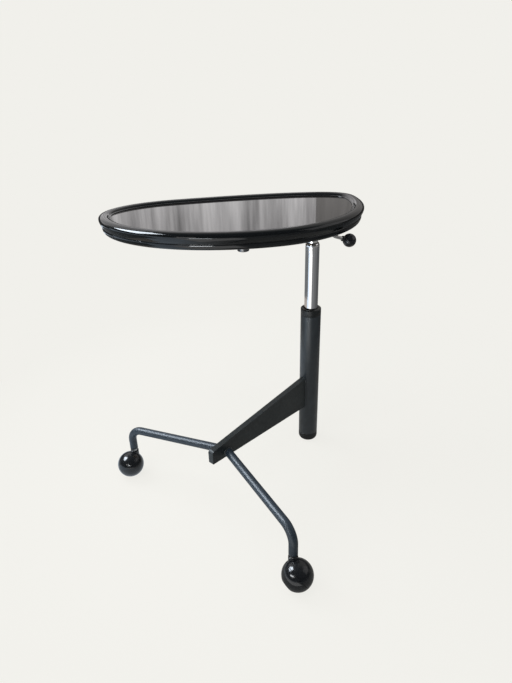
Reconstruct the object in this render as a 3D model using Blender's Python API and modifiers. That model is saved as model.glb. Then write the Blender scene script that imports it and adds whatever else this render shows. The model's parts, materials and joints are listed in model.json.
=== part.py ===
# Adjustable side table: a gas-spring column on one flat arm with two castor legs,
# and an oval tabletop carried near its edge, freed by a lever under the rim.
# Metres, +Z up. The origin is the column's axis at the floor, and the arm runs to -Y.

import math

import bmesh
import bpy
from mathutils import Vector

# Fits: the gap between seated pieces, and round clearance of pieces that move
SEAT = 0.0003
RUN = 0.0003

# Column
COLUMN_RADIUS = 0.0212
COLUMN_WALL = 0.0025
TUBE_LENGTH = 0.2979
FOOT_HEIGHT = 0.0195
FOOT_ROUND = 0.015
FOOT_SOLE = 0.008
FOOT_PLUG_LENGTH = 0.010
FOOT_PLUG_WALL = 0.004
COLLAR_HEIGHT = 0.0142
COLLAR_CHAMFER = 0.0012
GUIDE_LENGTH = 0.090

# Gas spring
ROD_RADIUS = 0.005
ROD_SEAT_THICKNESS = 0.005
ROD_TAIL = 0.0012
ROD_FLANGE_RADIUS = 0.009
ROD_FLANGE_HEIGHT = 0.004
ROD_TOP_DEPTH = 0.0425
CLIP_RADIUS = 0.009
CLIP_THICKNESS = 0.0026
CLIP_GROOVE = 0.001
BEARING_RADIUS = 0.011
BEARING_HEIGHT = 0.006
BEARING_WAIST = 0.0008
BUFFER_RADIUS = 0.010
BUFFER_HEIGHT = 0.005
BUFFER_MARGIN = 0.001
PISTON_HEIGHT = 0.012
PISTON_SPIGOT = 0.0034
RIVET_RADIUS = 0.0046
RIVET_HEIGHT = 0.003
CYLINDER_RADIUS = 0.014
CYLINDER_WALL = 0.0015
CYLINDER_HEAD = 0.012
CRIMP_WIDTH = 0.0015
CRIMP_HEIGHT = 0.0022
GLAND_HEIGHT = 0.014
LIFT_AT_REST = 0.115
CHROME_AT_LOWEST = 0.0175
SHOULDER_HEIGHT = 0.0075
CONE_RADIUS = 0.0105
CONE_LENGTH = 0.018
CONE_TAPER = 0.026
PIN_RADIUS = 0.0035
PIN_TIP = 0.0012

# Arm plate, seen from the side
ARM_REACH = 0.3087
ARM_THICKNESS = 0.012
ARM_ROOT_TOP = 0.1727
ARM_ROOT_BOTTOM = 0.0962
ARM_NOSE_TOP = 0.1457
ARM_NOSE_BOTTOM = 0.1172
ARM_NOSE_CHAMFER = 0.004
ARM_EDGE = 0.0006

# Legs
LEG_RADIUS = 0.008
LEG_SETBACK = 0.0417
LEG_ROOT_RISE = 0.0015
LEG_BEND = 0.028
LEG_DROP = 0.0469
CASTOR_SPREAD = 0.2156
CASTOR_REACH = 0.3346

# Ball castors
BALL_RADIUS = 0.0272
HOOD_STEP = 0.0006
BALL_SEAM = 0.0012
TRAIL = 0.015
AXLE_TILT = math.radians(32)
AXLE_RADIUS = 0.004
AXLE_DEPTH = 0.011
AXLE_HEAD_RADIUS = 0.007
AXLE_HEAD_HEIGHT = 0.002
WHEEL_FACE = 0.0245
WHEEL_RECESS_RADIUS = 0.009
STEM_RADIUS = 0.0045
STEM_SHOULDER_RADIUS = 0.0065
STEM_SHOULDER_HEIGHT = 0.0034
STEM_POINT = 0.001
HOOD_BOSS_RADIUS = 0.0085
HOOD_BOSS_RISE = 0.0015
HOOD_SOCKET_WALL = 0.0017
BUSH_WALL = 0.0014
BUSH_FLANGE = 0.0027
BUSH_LENGTH = 0.0165
BUSH_END_ROOM = 0.001
CASTOR_SWIVELS = {"left": math.radians(275), "right": math.radians(338)}

# Tabletop: a deep half towards the column and a flat half away from it, both on one long line,
# each with its furthest point shifted along that line
TOP_SWIVEL = math.radians(56)
TOP_HALF_LENGTH = 0.2887
TOP_NEAR_DEPTH = 0.2422
TOP_NEAR_SHIFT = 0.0342
TOP_FAR_DEPTH = 0.1068
TOP_FAR_SHIFT = -0.1248
TOP_ROUND = 0.040
TOP_OVERHANG = 0.1161
COLUMN_TO_EDGE = 0.0511
BOARD_THICKNESS = 0.014
PANEL_THICKNESS = 0.0015
TRAY_DEPTH = 0.0045

# Edge rim, measured in from its outermost line and down from its crest
RIM_HEIGHT = 0.0312
RIM_CREST = 0.010
RIM_CROWN = 0.011
RIM_LIP = 0.026
RIM_SKIRT = 0.0095
RIM_BEAD = 0.021
RIM_TUCK = 0.0014
RIM_GROOVE = 0.0032
RIM_GROOVE_HEIGHT = 0.0026
RIM_FOOT_STEP = 0.0022
RIM_FOOT_WIDTH = 0.0058
RIM_FOOT_ROUND = 0.0068

# Head under the board
HUB_CLEARANCE = 0.007
HUB_RADIUS = 0.018
HUB_HEIGHT = 0.0106
HUB_CHAMFER = 0.0015
PLATE_THICKNESS = 0.003
PLATE_HOLE = 0.014
PLATE_END_RADIUS = 0.014
PLATE_END_REACH = 0.016
PLATE_ARM_RADIUS = 0.017
PLATE_INNER_X = -0.085
PLATE_INNER_Y = 0.110
BOSS_X = -0.140
BOSS_RADIUS = 0.0115
BOSS_HEIGHT = 0.025
BOSS_ROUND = 0.0015
BOSS_STUD_RADIUS = 0.003
STUD_DEPTH = 0.009
SCREW_X = -0.046
SCREW_SPREAD = 0.008
SCREW_RADIUS = 0.002
SCREW_HEAD_RADIUS = 0.004
SCREW_HEAD_HEIGHT = 0.0026

# Release lever
LEVER_RADIUS = 0.0035
LEVER_PIVOT_X = -0.022
LEVER_TAIL = 0.006
LEVER_BEND_X = 0.018
LEVER_BEND_RADIUS = 0.012
LEVER_KNEE_X = 0.047
LEVER_KNEE_DROP = 0.0203
LEVER_LIFT = 0.0008
KNOB_X = 0.078
KNOB_DROP = 0.031
KNOB_RADIUS = 0.0135
KNOB_FLAT = 0.012
KNOB_SOCKET = 0.002
NECK_RADIUS = 0.0055
NECK_LENGTH = 0.005
PIVOT_RADIUS = 0.00175
BRACKET_BASE = 0.001
BRACKET_EAR = 0.0025
BRACKET_LENGTH = 0.014
BRACKET_SIDE_GAP = 0.0007
BRACKET_CROWN = 0.001
POCKET_MARGIN = 0.0015
LEVER_SLOT = 0.010

# Facets round turned pieces, along arcs, and the angle that still shades smooth
ROUND_STEPS = 32
SMALL_STEPS = 18
FEW_STEPS = 12
ARC_STEPS = 8
KNOB_STEPS = 12
OUTLINE_STEP = math.radians(9)
TOP_STEPS = 52
SMOOTH_ANGLE = math.radians(35)

# Heights worked out from the floor up
BORE_RADIUS = COLUMN_RADIUS - COLUMN_WALL
TUBE_BOTTOM = FOOT_HEIGHT + SEAT
TUBE_TOP = TUBE_BOTTOM + TUBE_LENGTH
COLLAR_TOP = TUBE_TOP + SEAT + COLLAR_HEIGHT
ROD_SEAT_BOTTOM = FOOT_HEIGHT + FOOT_PLUG_LENGTH + SEAT
ROD_SEAT_TOP = ROD_SEAT_BOTTOM + ROD_SEAT_THICKNESS
BEARING_BOTTOM = ROD_SEAT_TOP + SEAT
ROD_FLANGE_BOTTOM = BEARING_BOTTOM + BEARING_HEIGHT + SEAT
BUFFER_BOTTOM = ROD_FLANGE_BOTTOM + ROD_FLANGE_HEIGHT + SEAT
CYLINDER_BOTTOM = BUFFER_BOTTOM + BUFFER_HEIGHT + BUFFER_MARGIN + LIFT_AT_REST
CYLINDER_BORE = CYLINDER_RADIUS - CYLINDER_WALL
GLAND_BOTTOM = CYLINDER_BOTTOM + CRIMP_HEIGHT + SEAT
ROD_TOP = COLLAR_TOP - ROD_TOP_DEPTH
PISTON_TOP = ROD_TOP - RIVET_HEIGHT - SEAT
SHOULDER_BOTTOM = COLLAR_TOP + CHROME_AT_LOWEST + LIFT_AT_REST
CAVITY_TOP = SHOULDER_BOTTOM - CYLINDER_HEAD
CONE_BOTTOM = SHOULDER_BOTTOM + SHOULDER_HEIGHT
CONE_TOP = CONE_BOTTOM + CONE_LENGTH
HUB_BOTTOM = CONE_BOTTOM + HUB_CLEARANCE
HUB_TOP = HUB_BOTTOM + HUB_HEIGHT
PLATE_BOTTOM = HUB_TOP + SEAT
PLATE_TOP = PLATE_BOTTOM + PLATE_THICKNESS
BOARD_BOTTOM = PLATE_TOP + SEAT
BOARD_TOP = BOARD_BOTTOM + BOARD_THICKNESS
PANEL_BOTTOM = BOARD_TOP + SEAT
PANEL_TOP = PANEL_BOTTOM + PANEL_THICKNESS
CREST = PANEL_TOP + TRAY_DEPTH
BRACKET_BOTTOM = PLATE_TOP + SEAT
LEVER_AXIS = BRACKET_BOTTOM + BRACKET_BASE + LEVER_LIFT + LEVER_RADIUS
BRACKET_TOP = LEVER_AXIS + LEVER_RADIUS + BRACKET_CROWN
PIN_TOP = LEVER_AXIS - LEVER_RADIUS - SEAT

# Castor stack, from the ball's crown up to the leg's bend
HOOD_BOSS_TOP = 2 * BALL_RADIUS + HOOD_BOSS_RISE
STEM_SHOULDER_BOTTOM = HOOD_BOSS_TOP + SEAT
BUSH_BOTTOM = STEM_SHOULDER_BOTTOM + STEM_SHOULDER_HEIGHT + SEAT
LEG_END = BUSH_BOTTOM + BUSH_FLANGE + SEAT
LEG_CORNER = LEG_END + LEG_DROP
BUSH_RADIUS = STEM_RADIUS + RUN + BUSH_WALL

# Paint, plating and plastics: colour, roughness, metallic
FINISHES = {
    "graphite_paint": ((0.045, 0.055, 0.066), 0.38, 0.2),
    "plate_paint": ((0.026, 0.034, 0.038), 0.42, 0.2),
    "black_plastic": ((0.012, 0.012, 0.013), 0.45, 0.0),
    "gloss_black": ((0.006, 0.006, 0.007), 0.12, 0.0),
    "castor_black": ((0.007, 0.007, 0.008), 0.14, 0.0),
    "rim_black": ((0.010, 0.010, 0.011), 0.30, 0.0),
    "chrome": ((0.82, 0.82, 0.82), 0.08, 1.0),
    "bright_steel": ((0.60, 0.60, 0.60), 0.30, 1.0),
    "rubber": ((0.015, 0.015, 0.015), 0.80, 0.0),
    "board_wood": ((0.32, 0.23, 0.15), 0.70, 0.0),
}


def clear_scene():
    for old in list(bpy.data.objects):
        bpy.data.objects.remove(old)
    for old in list(bpy.data.collections):
        bpy.data.collections.remove(old)


def new_collection(name):
    collection = bpy.data.collections.new(name)
    bpy.context.scene.collection.children.link(collection)
    return collection


def finish(name):
    known = bpy.data.materials.get(name)
    if known:
        return known
    colour, roughness, metallic = FINISHES[name]
    material = bpy.data.materials.new(name)
    material.use_nodes = True
    shader = material.node_tree.nodes["Principled BSDF"]
    shader.inputs["Base Color"].default_value = (*colour, 1.0)
    shader.inputs["Roughness"].default_value = roughness
    shader.inputs["Metallic"].default_value = metallic
    return material


clear_scene()
table = new_collection("adjustable_side_table")
cutters = new_collection("cutters")


# Shared modelling steps


def axis_empty(name, location=(0, 0, 0), turn=(0, 0, 0), parent=None):
    empty = bpy.data.objects.new(name, None)
    table.objects.link(empty)
    empty.location = location
    empty.rotation_euler = turn
    empty.parent = parent
    return empty


def place(name, data, material, parent=None, location=(0, 0, 0), turn=(0, 0, 0)):
    piece = bpy.data.objects.new(name, data)
    table.objects.link(piece)
    piece.location = location
    piece.rotation_euler = turn
    piece.parent = parent
    data.materials.append(finish(material))
    return piece


def arc(centre, radii, start, end, steps=ARC_STEPS):
    angles = [start + (end - start) * i / steps for i in range(steps + 1)]
    return [(centre[0] + radii[0] * math.cos(a), centre[1] + radii[1] * math.sin(a)) for a in angles]


def turned_mesh(name, profile, ring):
    mesh = bpy.data.meshes.new(name)
    points = [(radius, 0, height) for radius, height in profile]
    edges = [(i, i + 1) for i in range(len(points) - 1)]
    if ring:
        edges.append((len(points) - 1, 0))
    mesh.from_pydata(points, edges, [])
    return mesh


def turned(name, profile, material, ring=False, steps=ROUND_STEPS, **placing):
    piece = place(name, turned_mesh(name, profile, ring), material, **placing)
    screw = piece.modifiers.new("Turn", "SCREW")
    screw.steps = steps
    screw.render_steps = steps
    screw.use_merge_vertices = True
    screw.merge_threshold = 0.00001
    return piece


def curve_data(name, points, cyclic=False, flat=False):
    curve = bpy.data.curves.new(name, "CURVE")
    curve.dimensions = "2D" if flat else "3D"
    spline = curve.splines.new("POLY")
    spline.points.add(len(points) - 1)
    for slot, point in zip(spline.points, points):
        slot.co = (*Vector(point).to_3d(), 1)
    spline.use_cyclic_u = cyclic
    return curve


def meshed(curve_piece):
    bpy.context.view_layer.update()
    graph = bpy.context.evaluated_depsgraph_get()
    mesh = bpy.data.meshes.new_from_object(curve_piece.evaluated_get(graph))
    shape = bmesh.new()
    shape.from_mesh(mesh)
    bmesh.ops.remove_doubles(shape, verts=shape.verts, dist=0.00001)
    bmesh.ops.recalc_face_normals(shape, faces=shape.faces)
    shape.to_mesh(mesh)
    shape.free()
    name = curve_piece.name
    piece = bpy.data.objects.new(name, mesh)
    table.objects.link(piece)
    piece.parent = curve_piece.parent
    piece.matrix_world = curve_piece.matrix_world
    bpy.data.objects.remove(curve_piece)
    piece.name = name
    return piece


def flat_piece(name, outline, thickness, material, **placing):
    curve = curve_data(name, outline, cyclic=True, flat=True)
    curve.fill_mode = "BOTH"
    curve.extrude = thickness / 2
    return meshed(place(name, curve, material, **placing))


def bar(name, path, radius, resolution, material, **placing):
    curve = curve_data(name, path)
    curve.bevel_depth = radius
    curve.bevel_resolution = resolution
    curve.use_fill_caps = True
    return meshed(place(name, curve, material, **placing))


def ringed(name, rings, material, **placing):
    # A closed skin through rings of as many points each, the last joined back to the first
    count = len(rings[0])
    faces = []
    for i in range(len(rings)):
        upper, lower = i * count, (i + 1) % len(rings) * count
        for j in range(count):
            k = (j + 1) % count
            faces.append((upper + j, lower + j, lower + k, upper + k))
    mesh = bpy.data.meshes.new(name)
    mesh.from_pydata([point for ring in rings for point in ring], [], faces)
    return place(name, mesh, material, **placing)


def add_cutter(name, shape, parent, location, turn):
    mesh = bpy.data.meshes.new(name)
    shape.to_mesh(mesh)
    shape.free()
    cutter = bpy.data.objects.new(name, mesh)
    cutters.objects.link(cutter)
    cutter.location = location
    cutter.rotation_euler = turn
    cutter.parent = parent
    cutter.hide_render = True
    cutter.display_type = "WIRE"
    return cutter


def round_cutter(name, radius, length, parent=None, location=(0, 0, 0), turn=(0, 0, 0), steps=SMALL_STEPS):
    shape = bmesh.new()
    bmesh.ops.create_cone(shape, cap_ends=True, segments=steps, radius1=radius,
                          radius2=radius, depth=length)
    return add_cutter(name, shape, parent, location, turn)


def box_cutter(name, size, parent=None, location=(0, 0, 0), turn=(0, 0, 0)):
    shape = bmesh.new()
    bmesh.ops.create_cube(shape, size=1)
    bmesh.ops.scale(shape, vec=size, verts=shape.verts)
    return add_cutter(name, shape, parent, location, turn)


def combine(piece, other, operation="DIFFERENCE"):
    boolean = piece.modifiers.new(other.name, "BOOLEAN")
    boolean.operation = operation
    boolean.object = other


def filleted(corners, radius, steps=ARC_STEPS):
    # A path through the corners, each inner one rounded to the radius
    points = [Vector(corner) for corner in corners]
    path = [points[0]]
    for before, corner, after in zip(points, points[1:], points[2:]):
        incoming = (corner - before).normalized()
        outgoing = (after - corner).normalized()
        turn = incoming.angle(outgoing)
        side = (outgoing - incoming * incoming.dot(outgoing)).normalized()
        centre = corner - incoming * radius * math.tan(turn / 2) + side * radius
        for i in range(steps + 1):
            angle = turn * i / steps
            path.append(centre + radius * (incoming * math.sin(angle) - side * math.cos(angle)))
    path.append(points[-1])
    return path


def hull_outline(discs):
    # The line round a ring of discs, met anticlockwise
    normals = []
    for (x0, y0, r0), (x1, y1, r1) in zip(discs, discs[1:] + discs[:1]):
        along = math.atan2(y1 - y0, x1 - x0)
        normals.append(along - math.acos((r0 - r1) / math.hypot(x1 - x0, y1 - y0)))
    outline = []
    for i, (x, y, radius) in enumerate(discs):
        start = normals[i - 1]
        sweep = (normals[i] - start) % math.tau
        steps = max(1, round(sweep / OUTLINE_STEP))
        outline += arc((x, y), (radius, radius), start, start + sweep, steps)
    return outline


# Column


def column_tube():
    profile = [
        (COLUMN_RADIUS, TUBE_TOP),
        (COLUMN_RADIUS, TUBE_BOTTOM),
        (BORE_RADIUS, TUBE_BOTTOM),
        (BORE_RADIUS, TUBE_TOP),
    ]
    turned("column_tube", profile, "graphite_paint", ring=True)


def column_collar():
    guide_bore = CYLINDER_RADIUS + RUN
    guide_radius = BORE_RADIUS - SEAT
    collar_bottom = TUBE_TOP + SEAT
    profile = [
        (guide_bore, COLLAR_TOP),
        (COLUMN_RADIUS - COLLAR_CHAMFER, COLLAR_TOP),
        (COLUMN_RADIUS, COLLAR_TOP - COLLAR_CHAMFER),
        (COLUMN_RADIUS, collar_bottom),
        (guide_radius, collar_bottom),
        (guide_radius, collar_bottom - GUIDE_LENGTH),
        (guide_bore, collar_bottom - GUIDE_LENGTH),
    ]
    turned("column_collar", profile, "black_plastic", ring=True)


def column_foot():
    plug_radius = BORE_RADIUS - SEAT
    plug_top = FOOT_HEIGHT + FOOT_PLUG_LENGTH
    rounding = arc((COLUMN_RADIUS - FOOT_ROUND, FOOT_ROUND), (FOOT_ROUND, FOOT_ROUND), 0, -math.pi / 2)
    profile = [
        (0, FOOT_SOLE),
        (plug_radius - FOOT_PLUG_WALL, FOOT_SOLE),
        (plug_radius - FOOT_PLUG_WALL, plug_top),
        (plug_radius, plug_top),
        (plug_radius, FOOT_HEIGHT),
        (COLUMN_RADIUS, FOOT_HEIGHT),
        *rounding,
        (0, 0),
    ]
    turned("column_foot", profile, "black_plastic")


def rod_seat():
    profile = [
        (BORE_RADIUS - SEAT, ROD_SEAT_TOP),
        (BORE_RADIUS - SEAT, ROD_SEAT_BOTTOM),
        (ROD_RADIUS + RUN, ROD_SEAT_BOTTOM),
        (ROD_RADIUS + RUN, ROD_SEAT_TOP),
    ]
    turned("rod_seat", profile, "bright_steel", ring=True)


# Gas spring


def piston_rod():
    groove_top = ROD_SEAT_BOTTOM - SEAT
    groove_bottom = groove_top - CLIP_THICKNESS - SEAT
    flange_top = ROD_FLANGE_BOTTOM + ROD_FLANGE_HEIGHT
    spigot_bottom = PISTON_TOP - PISTON_HEIGHT - SEAT
    profile = [
        (0, ROD_TOP),
        (RIVET_RADIUS, ROD_TOP),
        (RIVET_RADIUS, ROD_TOP - RIVET_HEIGHT),
        (PISTON_SPIGOT, ROD_TOP - RIVET_HEIGHT),
        (PISTON_SPIGOT, spigot_bottom),
        (ROD_RADIUS, spigot_bottom),
        (ROD_RADIUS, flange_top),
        (ROD_FLANGE_RADIUS, flange_top),
        (ROD_FLANGE_RADIUS, ROD_FLANGE_BOTTOM),
        (ROD_RADIUS, ROD_FLANGE_BOTTOM),
        (ROD_RADIUS, groove_top),
        (ROD_RADIUS - CLIP_GROOVE, groove_top),
        (ROD_RADIUS - CLIP_GROOVE, groove_bottom),
        (ROD_RADIUS, groove_bottom),
        (ROD_RADIUS, groove_bottom - ROD_TAIL),
        (0, groove_bottom - ROD_TAIL),
    ]
    turned("piston_rod", profile, "bright_steel", steps=SMALL_STEPS, parent=top_axis)


def rod_ring(name, bottom, height, inner, outer, material, waist=0.0):
    top = bottom + height
    middle = bottom + height / 2
    profile = [(inner, top), (outer, top), (outer - waist, middle), (outer, bottom), (inner, bottom)]
    turned(name, profile, material, ring=True, steps=SMALL_STEPS, parent=top_axis)


def rod_fittings():
    clip_bottom = ROD_SEAT_BOTTOM - SEAT - SEAT / 2 - CLIP_THICKNESS
    clip_bore = ROD_RADIUS - CLIP_GROOVE + SEAT
    fitted = ROD_RADIUS + SEAT
    piston_bottom = PISTON_TOP - PISTON_HEIGHT
    piston_bore = PISTON_SPIGOT + SEAT
    rod_ring("rod_clip", clip_bottom, CLIP_THICKNESS, clip_bore, CLIP_RADIUS, "bright_steel")
    rod_ring("thrust_bearing", BEARING_BOTTOM, BEARING_HEIGHT, fitted, BEARING_RADIUS, "bright_steel",
             BEARING_WAIST)
    rod_ring("rod_buffer", BUFFER_BOTTOM, BUFFER_HEIGHT, fitted, BUFFER_RADIUS, "rubber")
    rod_ring("piston", piston_bottom, PISTON_HEIGHT, piston_bore, CYLINDER_BORE - RUN, "black_plastic")


def cone_radius(height):
    return CONE_RADIUS - CONE_TAPER * (height - CONE_BOTTOM)


def gas_cylinder():
    lip = CYLINDER_BORE - CRIMP_WIDTH
    lip_top = CYLINDER_BOTTOM + CRIMP_HEIGHT
    pin_bore = PIN_RADIUS + RUN
    shoulder = arc((CONE_RADIUS, SHOULDER_BOTTOM), (CYLINDER_RADIUS - CONE_RADIUS, SHOULDER_HEIGHT),
                   math.pi / 2, 0, ARC_STEPS // 2)
    profile = [
        (cone_radius(CONE_TOP), CONE_TOP),
        *shoulder,
        (CYLINDER_RADIUS, CYLINDER_BOTTOM),
        (lip, CYLINDER_BOTTOM),
        (lip, lip_top),
        (CYLINDER_BORE, lip_top),
        (CYLINDER_BORE, CAVITY_TOP),
        (pin_bore, CAVITY_TOP),
        (pin_bore, CONE_TOP),
    ]
    turned("gas_cylinder", profile, "chrome", ring=True, parent=top_axis)


def cylinder_gland():
    bore = ROD_RADIUS + RUN
    rod_ring("cylinder_gland", GLAND_BOTTOM, GLAND_HEIGHT, bore, CYLINDER_BORE - SEAT, "black_plastic")


def release_pin():
    tip = arc((0, PIN_TOP - PIN_TIP), (PIN_RADIUS, PIN_TIP), math.pi / 2, 0, ARC_STEPS // 2)
    stub = CYLINDER_HEAD / 2
    profile = [*tip, (PIN_RADIUS, CAVITY_TOP - stub), (0, CAVITY_TOP - stub)]
    turned("release_pin", profile, "bright_steel", steps=SMALL_STEPS, parent=top_axis)


# Base arm and legs


def arm_plate():
    outline = [
        (0, ARM_ROOT_BOTTOM),
        (ARM_REACH, ARM_NOSE_BOTTOM),
        (ARM_REACH, ARM_NOSE_TOP - ARM_NOSE_CHAMFER),
        (ARM_REACH - ARM_NOSE_CHAMFER, ARM_NOSE_TOP),
        (0, ARM_ROOT_TOP),
    ]
    upright = (math.pi / 2, 0, -math.pi / 2)
    plate = flat_piece("arm_plate", outline, ARM_THICKNESS, "plate_paint", turn=upright)
    edges = plate.modifiers.new("Eased edges", "BEVEL")
    edges.width = ARM_EDGE
    edges.segments = 1
    edges.limit_method = "ANGLE"
    combine(plate, round_cutter("column_cut", COLUMN_RADIUS + SEAT, TUBE_TOP, location=(0, 0, TUBE_TOP / 2),
                                steps=2 * ROUND_STEPS))


def leg(side, sign):
    reach = ARM_REACH - LEG_SETBACK
    underside = ARM_ROOT_BOTTOM + (ARM_NOSE_BOTTOM - ARM_ROOT_BOTTOM) * reach / ARM_REACH
    root = (0, -reach, underside + LEG_ROOT_RISE + LEG_RADIUS)
    corner = (sign * CASTOR_SPREAD, -CASTOR_REACH, LEG_CORNER)
    foot = (sign * CASTOR_SPREAD, -CASTOR_REACH, LEG_END)
    piece = bar("leg_" + side, filleted((root, corner, foot), LEG_BEND), LEG_RADIUS, 6, "graphite_paint")
    slab = (ARM_THICKNESS + 2 * SEAT, 2 * ARM_REACH, ARM_ROOT_TOP)
    combine(piece, box_cutter("plate_cut_" + side, slab, location=(0, -ARM_REACH, ARM_ROOT_TOP / 2)))
    bore_top = LEG_END + BUSH_LENGTH + BUSH_END_ROOM
    bore = round_cutter("bush_bore_" + side, BUSH_RADIUS + SEAT, 2 * (bore_top - LEG_END), location=foot)
    combine(piece, bore)


# Castors, each modelled about its stem's axis with the ball trailing to +X


def stem_bush(side, swivel):
    bore = STEM_RADIUS + RUN
    flange_top = BUSH_BOTTOM + BUSH_FLANGE
    profile = [
        (bore, LEG_END + BUSH_LENGTH),
        (BUSH_RADIUS, LEG_END + BUSH_LENGTH),
        (BUSH_RADIUS, flange_top),
        (LEG_RADIUS, flange_top),
        (LEG_RADIUS, BUSH_BOTTOM),
        (bore, BUSH_BOTTOM),
    ]
    turned("stem_bush_" + side, profile, "black_plastic", ring=True, steps=SMALL_STEPS, parent=swivel)


def behind_seam(radius, wall):
    # The lowest height at which an upright round of this radius stays clear of the inclined seam
    return BALL_RADIUS + (radius * math.cos(AXLE_TILT) + BALL_SEAM / 2 + wall) / math.sin(AXLE_TILT)


def castor_stem(side, swivel):
    shoulder_top = STEM_SHOULDER_BOTTOM + STEM_SHOULDER_HEIGHT
    top = LEG_END + BUSH_LENGTH
    bottom = behind_seam(STEM_RADIUS + SEAT, HOOD_SOCKET_WALL) + SEAT
    profile = [
        (0, top),
        (STEM_RADIUS - STEM_POINT, top),
        (STEM_RADIUS, top - STEM_POINT),
        (STEM_RADIUS, shoulder_top),
        (STEM_SHOULDER_RADIUS, shoulder_top),
        (STEM_SHOULDER_RADIUS, STEM_SHOULDER_BOTTOM),
        (STEM_RADIUS, STEM_SHOULDER_BOTTOM),
        (STEM_RADIUS, bottom),
        (0, bottom),
    ]
    turned("castor_stem_" + side, profile, "bright_steel", steps=SMALL_STEPS, parent=swivel)


def castor_hood(side, swivel, axle):
    radius = BALL_RADIUS - HOOD_STEP
    seam = -BALL_SEAM / 2
    opening = math.asin(seam / radius)
    bore = AXLE_RADIUS + SEAT
    dome = arc((0, 0), (radius, radius), opening, -math.pi / 2)
    profile = [(0, -AXLE_DEPTH), (bore, -AXLE_DEPTH), (bore, seam), *dome]
    hood = turned("castor_hood_" + side, profile, "castor_black", parent=axle)
    boss_bottom = behind_seam(HOOD_BOSS_RADIUS, SEAT)
    boss_height = HOOD_BOSS_TOP - boss_bottom
    boss = round_cutter("hood_boss_" + side, HOOD_BOSS_RADIUS, boss_height, swivel,
                        (0, 0, boss_bottom + boss_height / 2))
    combine(hood, boss, "UNION")
    socket_bottom = behind_seam(STEM_RADIUS + SEAT, HOOD_SOCKET_WALL)
    socket = round_cutter("hood_socket_" + side, STEM_RADIUS + SEAT, 2 * (HOOD_BOSS_TOP - socket_bottom),
                          swivel, (0, 0, HOOD_BOSS_TOP))
    combine(hood, socket)


def castor_axle(side, axle):
    head_bottom = WHEEL_FACE - AXLE_HEAD_HEIGHT
    profile = [
        (0, WHEEL_FACE),
        (AXLE_HEAD_RADIUS, WHEEL_FACE),
        (AXLE_HEAD_RADIUS, head_bottom),
        (AXLE_RADIUS, head_bottom),
        (AXLE_RADIUS, -AXLE_DEPTH + SEAT),
        (0, -AXLE_DEPTH + SEAT),
    ]
    turned("castor_axle_" + side, profile, "castor_black", steps=SMALL_STEPS, parent=axle)


def castor_wheel(side, axle):
    bore = AXLE_RADIUS + RUN
    inner = BALL_SEAM / 2
    recess_floor = WHEEL_FACE - AXLE_HEAD_HEIGHT - RUN
    tread = arc((0, 0), (BALL_RADIUS, BALL_RADIUS), math.asin(WHEEL_FACE / BALL_RADIUS),
                math.asin(inner / BALL_RADIUS))
    profile = [
        (WHEEL_RECESS_RADIUS, WHEEL_FACE),
        *tread,
        (bore, inner),
        (bore, recess_floor),
        (WHEEL_RECESS_RADIUS, recess_floor),
    ]
    turned("castor_wheel_" + side, profile, "gloss_black", ring=True, parent=axle)


def castor(side, sign):
    foot = (sign * CASTOR_SPREAD, -CASTOR_REACH, 0)
    swivel = axis_empty("castor_swivel_" + side, foot, (0, 0, CASTOR_SWIVELS[side]))
    axle = axis_empty("castor_roll_" + side, (TRAIL, 0, BALL_RADIUS), (math.pi / 2 + AXLE_TILT, 0, 0), swivel)
    stem_bush(side, swivel)
    castor_stem(side, swivel)
    castor_hood(side, swivel, axle)
    castor_axle(side, axle)
    castor_wheel(side, axle)


# Tabletop, in the frame that turns with it: +X along its length, the column at the origin


def top_outline(inset=0.0):
    # Four quarter ellipses, set outwards all round by what the inset leaves of the rounding
    middle = Vector((-TOP_OVERHANG, TOP_NEAR_DEPTH - COLUMN_TO_EDGE))
    outline = []
    for i in range(TOP_STEPS):
        along, across = math.cos(math.tau * i / TOP_STEPS), math.sin(math.tau * i / TOP_STEPS)
        shift, depth = (TOP_FAR_SHIFT, TOP_FAR_DEPTH) if across > 0 else (TOP_NEAR_SHIFT, TOP_NEAR_DEPTH)
        reach = TOP_HALF_LENGTH - TOP_ROUND - (shift if along > 0 else -shift)
        rise = depth - TOP_ROUND
        spot = Vector((along * math.sqrt(reach), across * math.sqrt(rise))).normalized()
        point = Vector((shift + reach * spot.x, rise * spot.y))
        outwards = Vector((spot.x / reach, spot.y / rise)).normalized()
        outline.append(middle + point + outwards * (TOP_ROUND - inset))
    return outline


def screw_places():
    return [(SCREW_X, -SCREW_SPREAD), (SCREW_X, SCREW_SPREAD), (PLATE_INNER_X, PLATE_INNER_Y)]


def fixing_holes():
    holes = [(x, y, SCREW_RADIUS + SEAT) for x, y in screw_places()]
    return [*holes, (BOSS_X, 0, BOSS_STUD_RADIUS + SEAT)]


def top_board():
    outline = top_outline(RIM_SKIRT + SEAT)
    board =flat_piece("top_board", outline, BOARD_THICKNESS, "board_wood", parent=top_axis,
                       location=(0, 0, BOARD_BOTTOM + BOARD_THICKNESS / 2))
    pocket_height = 2 * (BRACKET_TOP + POCKET_MARGIN - BOARD_BOTTOM)
    pocket = (BRACKET_LENGTH + 2 * POCKET_MARGIN, bracket_width() + 2 * POCKET_MARGIN, pocket_height)
    combine(board, box_cutter("bracket_pocket", pocket, top_axis, (LEVER_PIVOT_X, 0, BOARD_BOTTOM)))
    channel = (lever_exit() - LEVER_PIVOT_X, LEVER_SLOT, pocket_height)
    channel_middle = (lever_exit() + LEVER_PIVOT_X) / 2
    combine(board, box_cutter("lever_channel", channel, top_axis, (channel_middle, 0, BOARD_BOTTOM)))
    pilot_length = 2 * (STUD_DEPTH + SEAT)
    for i, (x, y, radius) in enumerate(fixing_holes()):
        pilot = round_cutter(f"board_pilot_{i}", radius, pilot_length, top_axis, (x, y, BOARD_BOTTOM),
                             steps=FEW_STEPS)
        combine(board, pilot)


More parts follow.
